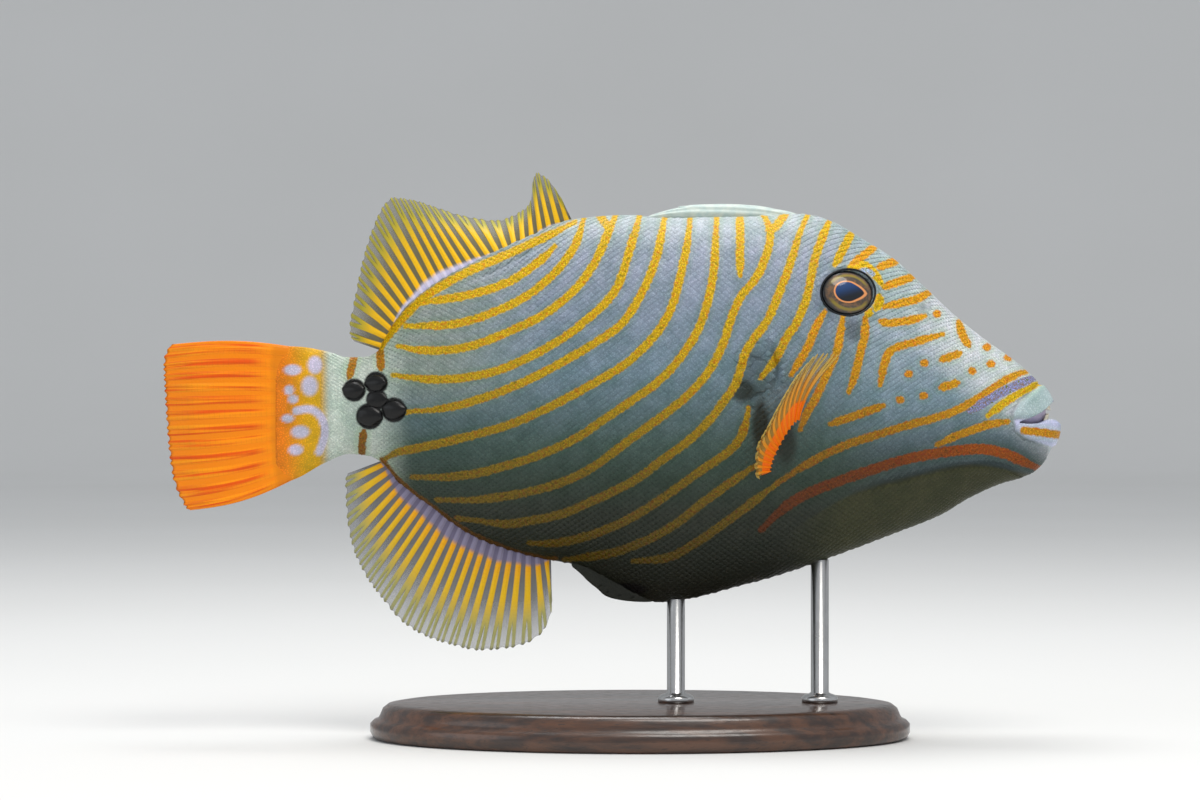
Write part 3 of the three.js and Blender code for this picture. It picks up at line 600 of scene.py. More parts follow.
def skin_material(name, relief_mm):
    made, tree, shader = new_material(name)
    place = node(tree, "ShaderNodeTexCoord").outputs["Object"]
    grain = tree.nodes.new("ShaderNodeGroup")
    grain.node_tree = grain_group
    tree.links.new(place, grain.inputs[0])
    grains, cloud = grain.outputs
    ground = node(tree, "ShaderNodeAttribute", attribute_name="ground").outputs["Color"]
    line = node(tree, "ShaderNodeAttribute", attribute_name="line").outputs["Color"]
    edge = node(tree, "ShaderNodeAttribute", attribute_name="edge").outputs["Fac"]
    ragged = math_node(tree, "MULTIPLY_ADD", noise(tree, place, 0.8, 2.0), 0.8, -0.4)
    on_line = ramp(tree, math_node(tree, "ADD", edge, ragged), 0.22, -0.22)
    mottled = blend_colours(tree, ramp(tree, cloud, 0.3, 0.72, 0.0, 0.8), ground, (206, 222, 214), "MULTIPLY")
    beside = math_node(tree, "MULTIPLY", ramp(tree, edge, 1.5, 0.3), 0.4)
    mottled = blend_colours(tree, beside, mottled, (224, 244, 204), "MULTIPLY")
    between_grains = ramp(tree, grains, 0.1, 0.8, 0.45, 0.0)
    mottled = blend_colours(tree, between_grains, mottled, (184, 194, 198), "MULTIPLY")
    specks = noise(tree, place, 0.6, 1.0)
    olive = blend_colours(tree, ramp(tree, specks, 0.42, 0.3), line, (196, 210, 60), "MULTIPLY")
    rusty = blend_colours(tree, ramp(tree, specks, 0.55, 0.68), olive, (252, 206, 140), "MULTIPLY")
    between_grains = ramp(tree, grains, 0.1, 0.8, 0.6, 0.0)
    bright_line = blend_colours(tree, between_grains, rusty, (186, 168, 120), "MULTIPLY")
    colour = blend_colours(tree, on_line, mottled, bright_line)
    tree.links.new(colour, shader.inputs["Base Color"])
    tree.links.new(ramp(tree, cloud, 0.2, 0.8, 0.36, 0.52), shader.inputs["Roughness"])
    shader.inputs["Subsurface Weight"].default_value = 0.06
    shader.inputs["Subsurface Radius"].default_value = (0.0012, 0.0007, 0.0005)
    shader.inputs["Specular IOR Level"].default_value = 0.22
    shader.inputs["Coat Weight"].default_value = 0.07
    shader.inputs["Coat Roughness"].default_value = 0.25
    bump(tree, shader, grains, relief_mm)
    return made


def fin_material(name, band, band_ray, band_end, root, middle, tip, membrane, clear, ray_width, streak=None):
    """A rayed fin: a band along its root, then coloured rays that fork and fade into the clear membrane.
    Its UV map holds the rays counted along u and the share from root to tip along v."""
    made, tree, shader = new_material(name)
    place = node(tree, "ShaderNodeTexCoord").outputs["Object"]
    uv = node(tree, "ShaderNodeUVMap", uv_map="rays").outputs[0]
    split = node(tree, "ShaderNodeSeparateXYZ")
    tree.links.new(uv, split.inputs[0])
    u, v = split.outputs[0], split.outputs[1]
    phase = math_node(tree, "ABSOLUTE", math_node(tree, "SUBTRACT", math_node(tree, "FRACT", u), 0.5))
    fork = ramp(tree, v, 0.35, 1.0, 0.0, 0.2)
    off = math_node(tree, "ABSOLUTE", math_node(tree, "SUBTRACT", phase, fork))
    width = ramp(tree, v, 0.2, 1.0, ray_width, ray_width * 0.4)
    ray = math_node(tree, "SUBTRACT", 1.0, math_node(tree, "DIVIDE", off, width), clamp=True)
    ray = ramp(tree, ray, 0.0, 0.3)
    joints = math_node(tree, "FRACT", math_node(tree, "MULTIPLY", v, 26.0))
    colour = blend_colours(tree, ramp(tree, v, 0.05, 0.5), root, middle)
    colour = blend_colours(tree, ramp(tree, v, 0.5, 0.88), colour, tip)
    if streak:
        streaks = node(tree, "ShaderNodeTexNoise")
        streaks.inputs["Scale"].default_value = 1.0
        streaks.inputs["Detail"].default_value = 3.0
        stretch = node(tree, "ShaderNodeMapping")
        stretch.inputs["Scale"].default_value = (3.4, 1.0, 1.0)
        tree.links.new(uv, stretch.inputs[0])
        tree.links.new(stretch.outputs[0], streaks.inputs["Vector"])
        streaked_part = ramp(tree, v, 0.22, 0.4)
        share = math_node(tree, "MULTIPLY", ramp(tree, streaks.outputs[0], 0.4, 0.62), streaked_part)
        colour = blend_colours(tree, share, colour, streak)
    joint = math_node(tree, "MULTIPLY", ramp(tree, joints, 0.8, 1.0), 0.12)
    colour = blend_colours(tree, joint, colour, (150, 90, 10))
    shown = blend_colours(tree, ray, membrane, colour)
    band_u = math_node(tree, "MULTIPLY", u, 0.35)
    place_u = node(tree, "ShaderNodeCombineXYZ")
    tree.links.new(band_u, place_u.inputs[0])
    wander = node(tree, "ShaderNodeTexNoise")
    tree.links.new(place_u.outputs[0], wander.inputs["Vector"])
    wander.inputs["Scale"].default_value = 1.0
    start = math_node(tree, "MULTIPLY_ADD", wander.outputs[0], 0.08, band_end - 0.04)
    past = math_node(tree, "SUBTRACT", v, start)
    streaked = blend_colours(tree, math_node(tree, "MULTIPLY", ray, 0.5), band, band_ray)
    shown = blend_colours(tree, ramp(tree, past, -0.025, 0.03), streaked, shown)
    tree.links.new(shown, shader.inputs["Base Color"])
    see = ramp(tree, v, 0.25, 1.0, clear[0], clear[1])
    ray_alpha = math_node(tree, "MULTIPLY", ray, ramp(tree, v, 0.75, 1.0, 1.0, 0.7))
    alpha = math_node(tree, "MAXIMUM", see, ray_alpha)
    alpha = math_node(tree, "MAXIMUM", alpha, ramp(tree, past, 0.05, -0.02))
    tree.links.new(alpha, shader.inputs["Alpha"])
    shader.inputs["Roughness"].default_value = 0.4
    shader.inputs["Specular IOR Level"].default_value = 0.22
    shader.inputs["Subsurface Weight"].default_value = 0.05
    shader.inputs["Subsurface Radius"].default_value = (0.001, 0.0006, 0.0003)
    fibres = noise(tree, place, 0.5, 3.0)
    bump(tree, shader, math_node(tree, "ADD", math_node(tree, "MULTIPLY", ray, 0.8), fibres), 0.08)
    return made


def plain_material(name, colour, roughness, coat=0.0, metallic=0.0, grain_mm=0.0, other=None, relief_mm=0.03):
    made, tree, shader = new_material(name)
    place = node(tree, "ShaderNodeTexCoord").outputs["Object"]
    cloud = noise(tree, place, grain_mm or 3.0, 4.0)
    shown = blend_colours(tree, ramp(tree, cloud, 0.3, 0.7), colour, other or colour)
    tree.links.new(shown, shader.inputs["Base Color"])
    worn = ramp(tree, cloud, 0.2, 0.8, roughness * 0.85, roughness * 1.15)
    tree.links.new(worn, shader.inputs["Roughness"])
    shader.inputs["Coat Weight"].default_value = coat
    shader.inputs["Coat Roughness"].default_value = 0.08
    shader.inputs["Metallic"].default_value = metallic
    shader.inputs["Specular IOR Level"].default_value = 0.5 if metallic else 0.25
    bump(tree, shader, cloud, relief_mm, 0.5)
    return made


def wood_material(name):
    made, tree, shader = new_material(name)
    place = node(tree, "ShaderNodeTexCoord").outputs["Object"]
    stretch = node(tree, "ShaderNodeMapping")
    stretch.inputs["Scale"].default_value = (0.12, 1.0, 1.0)
    tree.links.new(place, stretch.inputs[0])
    grain = noise(tree, stretch.outputs[0], 2.2, 6.0, 0.6)
    pores = noise(tree, stretch.outputs[0], 0.35, 2.0)
    colour = blend_colours(tree, ramp(tree, grain, 0.35, 0.68), (44, 28, 20), (86, 54, 34))
    colour = blend_colours(tree, ramp(tree, pores, 0.6, 0.72, 0.0, 0.6), colour, (18, 11, 8))
    tree.links.new(colour, shader.inputs["Base Color"])
    tree.links.new(ramp(tree, pores, 0.4, 0.75, 0.28, 0.5), shader.inputs["Roughness"])
    shader.inputs["Coat Weight"].default_value = 0.5
    shader.inputs["Coat Roughness"].default_value = 0.12
    bump(tree, shader, pores, 0.05, 0.4)
    return made


def eye_material(name):
    """The eye. Its attribute "disc" holds forward and up from the pupil's middle, in millimetres."""
    made, tree, shader = new_material(name)
    place = node(tree, "ShaderNodeTexCoord").outputs["Object"]
    disc = node(tree, "ShaderNodeAttribute", attribute_name="disc").outputs["Vector"]
    split = node(tree, "ShaderNodeSeparateXYZ")
    tree.links.new(disc, split.inputs[0])
    forward, up = split.outputs[0], split.outputs[1]

    def squared(value):
        return math_node(tree, "POWER", value, 2.0)

    tall = math_node(tree, "MULTIPLY", up, 1.2)
    r = math_node(tree, "SQRT", math_node(tree, "ADD", squared(forward), squared(tall)))
    # The pupil is round behind and drawn to a point ahead
    from_middle = math_node(tree, "ADD", forward, 0.7)
    behind = math_node(tree, "DIVIDE", math_node(tree, "MINIMUM", from_middle, 0.0), -2.6)
    ahead = math_node(tree, "DIVIDE", math_node(tree, "MAXIMUM", from_middle, 0.0), 4.1)
    half_up = math_node(tree, "DIVIDE", math_node(tree, "ABSOLUTE", up), 2.2)
    sharpness = ramp(tree, forward, -0.9, 1.5, 2.0, 1.45)
    reach = math_node(tree, "POWER", half_up, sharpness)
    lengthwise = math_node(tree, "POWER", math_node(tree, "ADD", ahead, behind), sharpness)
    reach = math_node(tree, "ADD", reach, lengthwise)
    pupil = ramp(tree, reach, 1.06, 0.94)
    rim = ramp(tree, reach, 1.36, 1.2)
    cloud = noise(tree, place, 1.3, 4.0, 0.6)
    iris = blend_colours(tree, ramp(tree, cloud, 0.4, 0.62), (66, 60, 52), (112, 82, 56))
    arcs = math_node(tree, "ABSOLUTE", math_node(tree, "SUBTRACT", r, 4.6))
    above = ramp(tree, math_node(tree, "ABSOLUTE", up), 1.2, 2.6)
    arcs = math_node(tree, "MULTIPLY", ramp(tree, arcs, 0.6, 0.1), above)
    iris = blend_colours(tree, math_node(tree, "MULTIPLY", arcs, 0.85), iris, (138, 120, 30))
    iris = blend_colours(tree, ramp(tree, r, 5.2, 5.6), iris, (14, 16, 20))
    colour = blend_colours(tree, rim, iris, (222, 146, 88))
    # Painted reflection: the pupil turns from near black to deep blue towards its top back, where it reflects
    # the light from above
    pupil_reflection = ramp(tree, math_node(tree, "SUBTRACT", up, math_node(tree, "MULTIPLY", forward, 0.35)), -1.2, 1.6)
    colour = blend_colours(tree, pupil, colour, blend_colours(tree, pupil_reflection, (2, 10, 22), (0, 52, 104)))
    tree.links.new(colour, shader.inputs["Base Color"])
    shader.inputs["Roughness"].default_value = 0.4
    shader.inputs["Specular IOR Level"].default_value = 0.2
    shader.inputs["Coat Weight"].default_value = 0.7
    shader.inputs["Coat Roughness"].default_value = 0.03
    bump(tree, shader, cloud, 0.05, 0.3)
    return made


materials = {
    "skin": skin_material("skin between scales", 0.05),
    "scale": skin_material("scales", 0.05),
    "dorsal": fin_material(
        "dorsal fin", (204, 200, 232), (232, 224, 240), 0.16, (255, 196, 16), (240, 190, 24), (176, 168, 60),
        (112, 106, 78), (0.85, 0.3), 0.33,
    ),
    "anal": fin_material(
        "anal fin", (104, 98, 122), (152, 146, 170), 0.2, (240, 158, 6), (220, 176, 24), (160, 158, 96),
        (106, 106, 106), (0.88, 0.32), 0.33,
    ),
    "caudal": fin_material(
        "caudal fin", (226, 128, 6), (226, 128, 6), 0.22, (240, 138, 4), (255, 148, 2), (244, 150, 8),
        (246, 136, 2), (1.0, 0.9), 0.4, (228, 84, 0),
    ),
    "pectoral": fin_material(
        "pectoral fin", (255, 116, 2), (255, 150, 20), 0.33, (255, 128, 6), (240, 156, 40), (206, 176, 90),
        (190, 150, 70), (0.8, 0.16), 0.3,
    ),
    "folded": plain_material("folded fin", (182, 200, 196), 0.5, 0.05, 0.0, 1.6, (204, 214, 206), 0.06),
    "eye": eye_material("eye"),
    "dark": plain_material("tail spines", (4, 4, 5), 0.32, 0.12, 0.0, 0.8, (9, 9, 9)),
    "lid": plain_material("eye's dark rim", (14, 18, 24), 0.4, 0.1, 0.0, 0.8, (24, 28, 32)),
    "mouth": plain_material("mouth lining", (186, 178, 204), 0.4, 0.2, 0.0, 1.5, (204, 192, 212)),
    "tooth": plain_material("teeth", (236, 232, 218), 0.25, 0.4, 0.0, 1.0, (222, 212, 186)),
    "wood": wood_material("stained wood"),
    "metal": plain_material("brushed steel", (190, 190, 190), 0.24, 0.0, 1.0, 4.0, (180, 180, 180), 0.004),
}


# Making pieces
def add_piece(name, mesh, finish, replaces=()):
    piece = bpy.data.objects.new(name, mesh)
    bpy.context.collection.objects.link(piece)
    mesh.materials.clear()
    mesh.materials.append(materials[finish])
    mesh.shade_smooth()
    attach(piece, "root")
    if replaces:
        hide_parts(*replaces)
    return piece


def mesh_of(bm, name):
    bmesh.ops.recalc_face_normals(bm, faces=bm.faces)
    mesh = bpy.data.meshes.new(name)
    bm.to_mesh(mesh)
    bm.free()
    return mesh


def grid(columns, rows, place):
    """A bmesh grid whose corners place(s, t) moves, s and t from 0 to 1."""
    bm = bmesh.new()
    bmesh.ops.create_grid(bm, x_segments=columns, y_segments=rows, size=1)
    corners = np.array([v.co[:2] for v in bm.verts])
    low, high = corners.min(axis=0), corners.max(axis=0)
    s, t = ((corners - low) / (high - low)).T
    for vert, at in zip(bm.verts, place(s, t) * MM):
        vert.co = at
    return bm, s, t


SKIN_SPREAD = [(0, TAIL_X), (0.05, -70), (0.17, -50), (0.7, 58), (0.85, 82), (0.93, 90.4), (1, SNOUT_X)]
SKIN_ALONG, SKIN_AROUND = 380, 236
COAT_DEPTH = 0.1
GAP_SHADE = 0.22


def mouth_cutter():
    """The gap between the lips, as a solid to cut with."""
    bm = bmesh.new()
    bmesh.ops.create_cube(bm, size=1)
    bmesh.ops.subdivide_edges(bm, edges=bm.edges, cuts=22, use_grid_fill=True)
    top, bottom = through(MOUTH_TOP), through(MOUTH_BOTTOM)
    for vert in bm.verts:
        a, b, c = vert.co + Vector((0.5, 0.5, 0.5))
        x = mix(MOUTH_CORNER_X, MOUTH_END_X, a)
        y = mix(-9, 9, b)
        vert.co = Vector((x, y, mix(float(bottom(x)), float(top(x)), c))) * MM
    return bpy.data.objects.new("mouth gap", mesh_of(bm, "mouth gap"))


def cut(piece, cutter):
    """The piece's mesh with the cutter's space taken out."""
    bpy.context.collection.objects.link(piece)
    bpy.context.collection.objects.link(cutter)
    step = piece.modifiers.new("gap", "BOOLEAN")
    step.object, step.operation, step.solver = cutter, "DIFFERENCE", "EXACT"
    bpy.context.view_layer.update()
    mesh = bpy.data.meshes.new_from_object(piece.evaluated_get(bpy.context.evaluated_depsgraph_get()))
    for used in (piece, cutter):
        bpy.data.objects.remove(used)
    return mesh


def make_skin():
    spread = through(SKIN_SPREAD)

    def place(s, t):
        x, angle = spread(s), 2 * math.pi * t
        return raised(loft(x, angle), outward(x, angle), -COAT_DEPTH)

    bm, _, _ = grid(SKIN_ALONG, SKIN_AROUND, place)
    bmesh.ops.remove_doubles(bm, verts=bm.verts, dist=0.004 * MM)
    rims = [e for e in bm.edges if e.is_boundary]
    bmesh.ops.holes_fill(bm, edges=rims, sides=0)
    bmesh.ops.triangulate(bm, faces=[f for f in bm.faces if len(f.verts) > 4])
    whole = bpy.data.objects.new("plain skin", mesh_of(bm, "plain skin"))
    mesh = cut(whole, mouth_cutter())
    soften_lips(mesh)
    places = np.array([v.co[:] for v in mesh.vertices]) / MM
    px, pz = seen(places)
    scaled = ease(-70, -64, px) * ease(91, 87, px)
    scaled *= ease(0.3, -0.3, np.maximum(depth_inside(px, pz, UPPER_LIP), depth_inside(px, pz, LOWER_LIP)))
    # Painted shade: the skin is darker where the scales stand over it
    paint(mesh, 1 - GAP_SHADE * scaled)
    return add_piece("skin", mesh, "skin", ("head", "torso", "tail_peduncle"))


def soften_lips(mesh):
    """Rounds the lips' edges where the gap was cut."""
    bm = bmesh.new()
    bm.from_mesh(mesh)
    top, bottom = through(MOUTH_TOP), through(MOUTH_BOTTOM)
    places = np.array([v.co[:] for v in bm.verts]) / MM
    px, pz = places[:, 0], places[:, 2]
    gap = np.minimum(np.abs(pz - top(px)), np.abs(pz - bottom(px)))
    near = (px > MOUTH_CORNER_X - 0.5) & (gap < 0.8)
    verts = [v for v, use in zip(bm.verts, near) if use]
    for _ in range(5):
        bmesh.ops.smooth_vert(bm, verts=verts, factor=0.5, use_axis_x=True, use_axis_y=True, use_axis_z=True)
    bm.to_mesh(mesh)
    bm.free()


skin = make_skin()


# Scales: small domed plates in a slanting lattice, a little apart, each set on the skin
SCALE_SIZE = [
    (-84, 0.42), (-74, 0.45), (-62, 0.55), (-48, 0.7), (-20, 0.84), (30, 0.84), (55, 0.7), (78, 0.52),
    (93, 0.4),
]
SCALE_TALL = 0.84
SCALE_GAP = 0.98
SCALE_THICK = 0.06
SCALES_FROM, SCALES_TO = -70.5, 90.0
BAKE_PATCH = 0.0015
random = np.random.default_rng(7)


def scale_template():
    """One plate, 1 from its middle to each corner: a rounded diamond with a domed top."""
    bm = bmesh.new()
    bmesh.ops.create_circle(bm, cap_ends=True, segments=8, radius=1)
    for i, vert in enumerate(bm.verts):
        vert.co *= 1.0 if i % 2 == 0 else 0.76
        vert.co.z = -0.25
    face = bm.faces[:]
    bmesh.ops.inset_individual(bm, faces=face, thickness=0.24, depth=0)
    for vert in face[0].verts:
        vert.co.z = 0.8
    middle = bmesh.ops.poke(bm, faces=face)["verts"]
    middle[0].co.z = 1.1
    bmesh.ops.triangulate(bm, faces=bm.faces)
    bmesh.ops.recalc_face_normals(bm, faces=bm.faces)
    corners = np.array([v.co[:] for v in bm.verts])
    faces = np.array([[v.index for v in f.verts] for f in bm.faces])
    top = corners[faces[-1]]
    if np.cross(*(top[1:] - top[0]))[2] < 0:
        faces = faces[:, ::-1]
    bm.free()
    return corners, faces


def scale_places():
    """x, angle and size of every scale on the left side, on a slanting lattice."""
    size = through(SCALE_SIZE)
    xs = [SCALES_FROM]
    while xs[-1] < SCALES_TO:
        xs.append(xs[-1] + float(size(xs[-1])))
    found = []
    for column, x in enumerate(xs):
        angles = np.linspace(0.01, math.pi - 0.01, 400)
        ring = loft(np.full(400, x), angles)
        arc = np.concatenate([[0], np.cumsum(np.linalg.norm(np.diff(ring, axis=0), axis=1))])
        arc -= np.interp(math.pi / 2, angles, arc)
        step = float(size(x)) * SCALE_TALL
        rows = np.arange(math.ceil(arc[0] / step), math.floor(arc[-1] / step) + 1)
        rows = rows[(rows + column) % 2 == 0]
        for angle in np.interp(rows * step, arc, angles):
            found.append((x, angle, float(size(x))))
    return np.array(found)


def free_of_forms(places):
    """True where a scale is clear of the eye, lips, slits, plates and spines."""
    px, pz = seen(places)
    clear = eye_distance(px, pz) > EYE["rim"] + 0.45
    for outline in (UPPER_LIP, LOWER_LIP):
        clear &= depth_inside(px, pz, outline) < -0.5
    for line, room in ((GILL_SLIT, 0.9), (CHIN_CREASE, 0.7)):
        clear &= line_distance(px, pz, smooth_line(line), 4)[0] > room
    for x, z in NOSTRILS:
        clear &= np.hypot(px - x, pz - z) > 1.5
    for x, z, radius in GILL_PLATES:
        clear &= np.hypot(px - x, pz - z) > radius * 0.95
    for (x, z), radius in TAIL_PATCH:
        clear &= np.hypot(px - x, pz - z) > radius * 0.8
    clear &= np.abs(places[:, 1]) > 0.5
    groove = (px > 0.5) & (px < 39.5) & (pz > 100) & (np.abs(places[:, 1]) < 3.3)
    return clear & ~groove


def make_scales(name, spots, side):
    corners, faces = scale_template()
    x, angle, size = spots.T
    angle = angle if side > 0 else 2 * math.pi - angle
    nudge = 0.15

    def surface(dx, turn):
        at, round_at = x + dx, angle + turn
        return raised(loft(at, round_at), outward(at, round_at))

    middle = surface(0, 0)
    along = surface(nudge, 0) - surface(-nudge, 0)
    around = surface(0, -0.01 * side) - surface(0, 0.01 * side)
    along /= np.linalg.norm(along, axis=1, keepdims=True)
    out = np.cross(along, around) * -side
    out /= np.linalg.norm(out, axis=1, keepdims=True)
    out *= np.where(np.einsum("ij,ij->i", out, outward(x, angle)) < 0, -1, 1)[:, None]
    tilt = random.normal(0, 0.03, (len(x), 2))
    out += along * tilt[:, :1]
    up = np.cross(out, along) * np.where(np.cross(out, along)[:, 2:] < 0, -1, 1)
    along += up * tilt[:, 1:]
    wide = size * SCALE_GAP * random.uniform(0.95, 1.02, len(x))
    tall = wide * SCALE_TALL
    thick = SCALE_THICK * np.sqrt(size) * random.uniform(0.85, 1.1, len(x))
    places = (
        middle[:, None]
        + corners[None, :, :1] * (along * wide[:, None])[:, None]
        + corners[None, :, 1:2] * (up * tall[:, None])[:, None]
        + corners[None, :, 2:] * (out * thick[:, None])[:, None]
    )
    flipped = np.einsum("ij,ij->i", np.cross(along, up), out) < 0
    count, per = len(x), len(corners)
    index = faces[None] + (np.arange(count) * per)[:, None, None]
    index[flipped] = index[flipped][:, :, ::-1]
    index = index.reshape(-1, 3)
    mesh = bpy.data.meshes.new(name)
    mesh.from_pydata((places.reshape(-1, 3) * MM).tolist(), [], index.tolist())
    unwrap = mesh.uv_layers.new(name="OFBake")
    u = (x - TAIL_X) / (SNOUT_X - TAIL_X)
    v = angle / (2 * math.pi)
    uv = np.stack([u, v], axis=1)[:, None] + corners[None, :, :2] * BAKE_PATCH
    unwrap.data.foreach_set("uv", uv.reshape(-1, 2)[index.ravel()].astype(np.float32).ravel())
    paint(mesh, np.repeat(random.uniform(0.9, 1.06, count), per))
    return add_piece(name, mesh, "scale")


# The bony plates behind the gill slit: x, z and radius
GILL_PLATES = [
    (26.2, 86.2, 1.7), (22.8, 84.6, 1.6), (26.7, 82.4, 1.9), (23.1, 80.6, 1.8), (26.4, 78.4, 1.8),
    (22.6, 76.8, 1.6), (26.2, 74.8, 1.5),
]
spots = scale_places()
for side, side_name in ((1, "left"), (-1, "right")):
    angles = spots[:, 1] if side > 0 else 2 * math.pi - spots[:, 1]
    clear = spots[free_of_forms(loft(spots[:, 0], angles))]
    for part, part_name in ((clear[:, 0] < 3, "rear"), (clear[:, 0] >= 3, "front")):
        make_scales(f"scales_{side_name}_{part_name}", clear[part], side)


def on_skin(x, z, side):
    """The place, outward direction and forward direction where the photograph's x, z falls on the skin."""
    share = (LENS["distance"] - side_y(x, z)) / LENS["distance"]
    x, z = mix(LENS["x"], x, share), mix(LENS["z"], z, share)
    middle = float(widest_z(x))
    up = z > middle
    rise = (z - middle) / (float(back(x) if up else belly(x)) - middle)
    angle = math.acos(min(1, rise)) if up else math.pi - math.acos(min(1, rise))
    at = np.array([x]), np.array([angle if side > 0 else 2 * math.pi - angle])
    out = Vector(outward(*at)[0])
    forward = (Vector((1, 0, 0)) - out * out.x).normalized()
    return Vector(loft(*at)[0]), out, forward


def stand_on(bm, verts, x, z, side):
    """Moves new corners, modelled with Z out of the skin and X forward, to their place on the skin."""
    place, out, forward = on_skin(x, z, side)
    up = out.cross(forward) * (1 if out.cross(forward).z > 0 else -1)
    turn = Matrix((forward, up, out)).transposed()
    for vert in verts:
        vert.co = (place + turn @ vert.co) * MM


def dome(bm, radius_x, radius_y, height, sink, segments=28, rings=9, swell=2.0):
    """A closed dome with its skirt sunk below the skin. Gives its corners."""
    made = bmesh.ops.create_uvsphere(bm, u_segments=segments, v_segments=rings * 2, radius=1)["verts"]
    for vert in made:
        flat = math.hypot(vert.co.x, vert.co.y)
        top = (1 - min(1, flat) ** swell) ** (1 / 2) * height if vert.co.z > 0 else vert.co.z * sink
        vert.co = Vector((vert.co.x * radius_x, vert.co.y * radius_y, top))
    return made


def make_gill_plates():
    bm = bmesh.new()
    for side in (1, -1):
        for i, (x, z, radius) in enumerate(GILL_PLATES):
            corners = dome(bm, radius * 1.02, radius * 0.86, 0.24, 0.6, 24, 8, 3)
            for vert in corners:
                angle = math.atan2(vert.co.y, vert.co.x)
                bulge = 1 + 0.07 * math.cos(5 * angle + i) + 0.03 * math.cos(9 * angle + 2 * i)
                vert.co.x *= bulge
                vert.co.y *= bulge
                vert.co.z -= 0.12 * max(0.0, vert.co.x / radius)
            stand_on(bm, corners, x, z, side)
    mesh = mesh_of(bm, "gill_plates")
    paint(mesh)
    add_piece("gill_plates", mesh, "scale")


SPINE_HEIGHT = 1.0


def make_tail_spines():
    """Black spines on the tail, wide at the foot and hooked forward."""
    bm = bmesh.new()
    for side in (1, -1):
        for i, ((x, z), radius) in enumerate(TAIL_PATCH):
            tall = SPINE_HEIGHT if i < 4 else SPINE_HEIGHT * 0.4
            corners = dome(bm, 1, 1, 1, 0.5, 32, 14, 2.2)
            for vert in corners:
                rise = max(0.0, vert.co.z)
                knob = 1 + 0.06 * math.sin(5 * vert.co.x + i) + 0.05 * math.sin(6 * vert.co.y + 2 * i)
                across = vert.co.y * radius * 0.82 * (1 - 0.3 * rise)
                vert.co = Vector((vert.co.x * radius * knob * 1.12 + 1.1 * rise**2, across, vert.co.z * tall))
            stand_on(bm, corners, x, z, side)
    add_piece("tail_spines", mesh_of(bm, "tail_spines"), "dark")


def make_eyes():
    for side, side_name in ((1, "left"), (-1, "right")):
        bm = bmesh.new()
        corners = bmesh.ops.create_uvsphere(bm, u_segments=64, v_segments=40, radius=1)["verts"]
        disc = np.zeros((len(bm.verts), 3), np.float32)
        for vert in corners:
            forward, up = vert.co.x * 6.6, vert.co.y * 5.6
            disc[vert.index] = (forward - 0.1, up + 0.1, 0)
            vert.co = Vector((forward, up, vert.co.z * 3.0 - 1.35))
        stand_on(bm, corners, EYE["x"], EYE["z"], side)
        mesh = mesh_of(bm, f"eyeball_{side_name}")
        layer = mesh.attributes.new("disc", "FLOAT_VECTOR", "POINT")
        layer.data.foreach_set("vector", disc.ravel())
        add_piece(f"eyeball_{side_name}", mesh, "eye", (f"eye_{side_name}",))


RIM = {"wide": 6.05, "tall": 5.13, "tube": 0.24, "proud": 0.5}


def make_eye_rims():
    """The thin dark ring of skin around each eye."""
    around = 96
    for side, side_name in ((1, "left"), (-1, "right")):
        turns = [2 * math.pi * i / around for i in range(around)]
        spots = [(EYE["x"] + RIM["wide"] * math.cos(a), EYE["z"] + RIM["tall"] * math.sin(a)) for a in turns]
        stands = [on_skin(x, z, side) for x, z in spots]
        middles = np.array([place[:] for place, _, _ in stands])
        outs = np.array([out[:] for _, out, _ in stands])
        away = middles - middles.mean(axis=0)
        away -= outs * np.einsum("ij,ij->i", away, outs)[:, None]
        away /= np.linalg.norm(away, axis=1, keepdims=True)

        def place(s, t):
            i = np.rint(s * around).astype(int) % around
            turn = 2 * math.pi * t
            lift = RIM["proud"] + RIM["tube"] * np.sin(turn)
            return middles[i] + outs[i] * lift[:, None] + away[i] * (RIM["tube"] * np.cos(turn))[:, None]

        bm, _, _ = grid(around, 14, place)
        bmesh.ops.remove_doubles(bm, verts=bm.verts, dist=1e-7)
        add_piece(f"eye_rim_{side_name}", mesh_of(bm, f"eye_rim_{side_name}"), "lid")


# Each pair of teeth: distance from the middle, height of the root and of the tip
TEETH_X = 90.3
TEETH = [(0.8, 76.4, 72.9), (2.1, 76.4, 73.0), (2.9, 76, 73.2)]
LOWER_TEETH = [(0.7, 70, 72.2), (2.0, 70, 71.9)]
LINING = {"x": (80, 90.3), "y": 4.6, "z": (68.6, 76.2)}


def make_mouth_lining():
    """What shows between the lips: the mouth's rounded inside."""
    bm = bmesh.new()
    corners = bmesh.ops.create_uvsphere(bm, u_segments=40, v_segments=24, radius=1)["verts"]
    for vert in corners:
        x = mix(*LINING["x"], (vert.co.x + 1) / 2)
        room = max(0.3, float(half_width(x)) - 1.1)
        z = mix(*LINING["z"], (vert.co.z + 1) / 2)
        vert.co = Vector((x, vert.co.y * min(LINING["y"], room), z)) * MM
    add_piece("mouth_lining", mesh_of(bm, "mouth_lining"), "mouth")


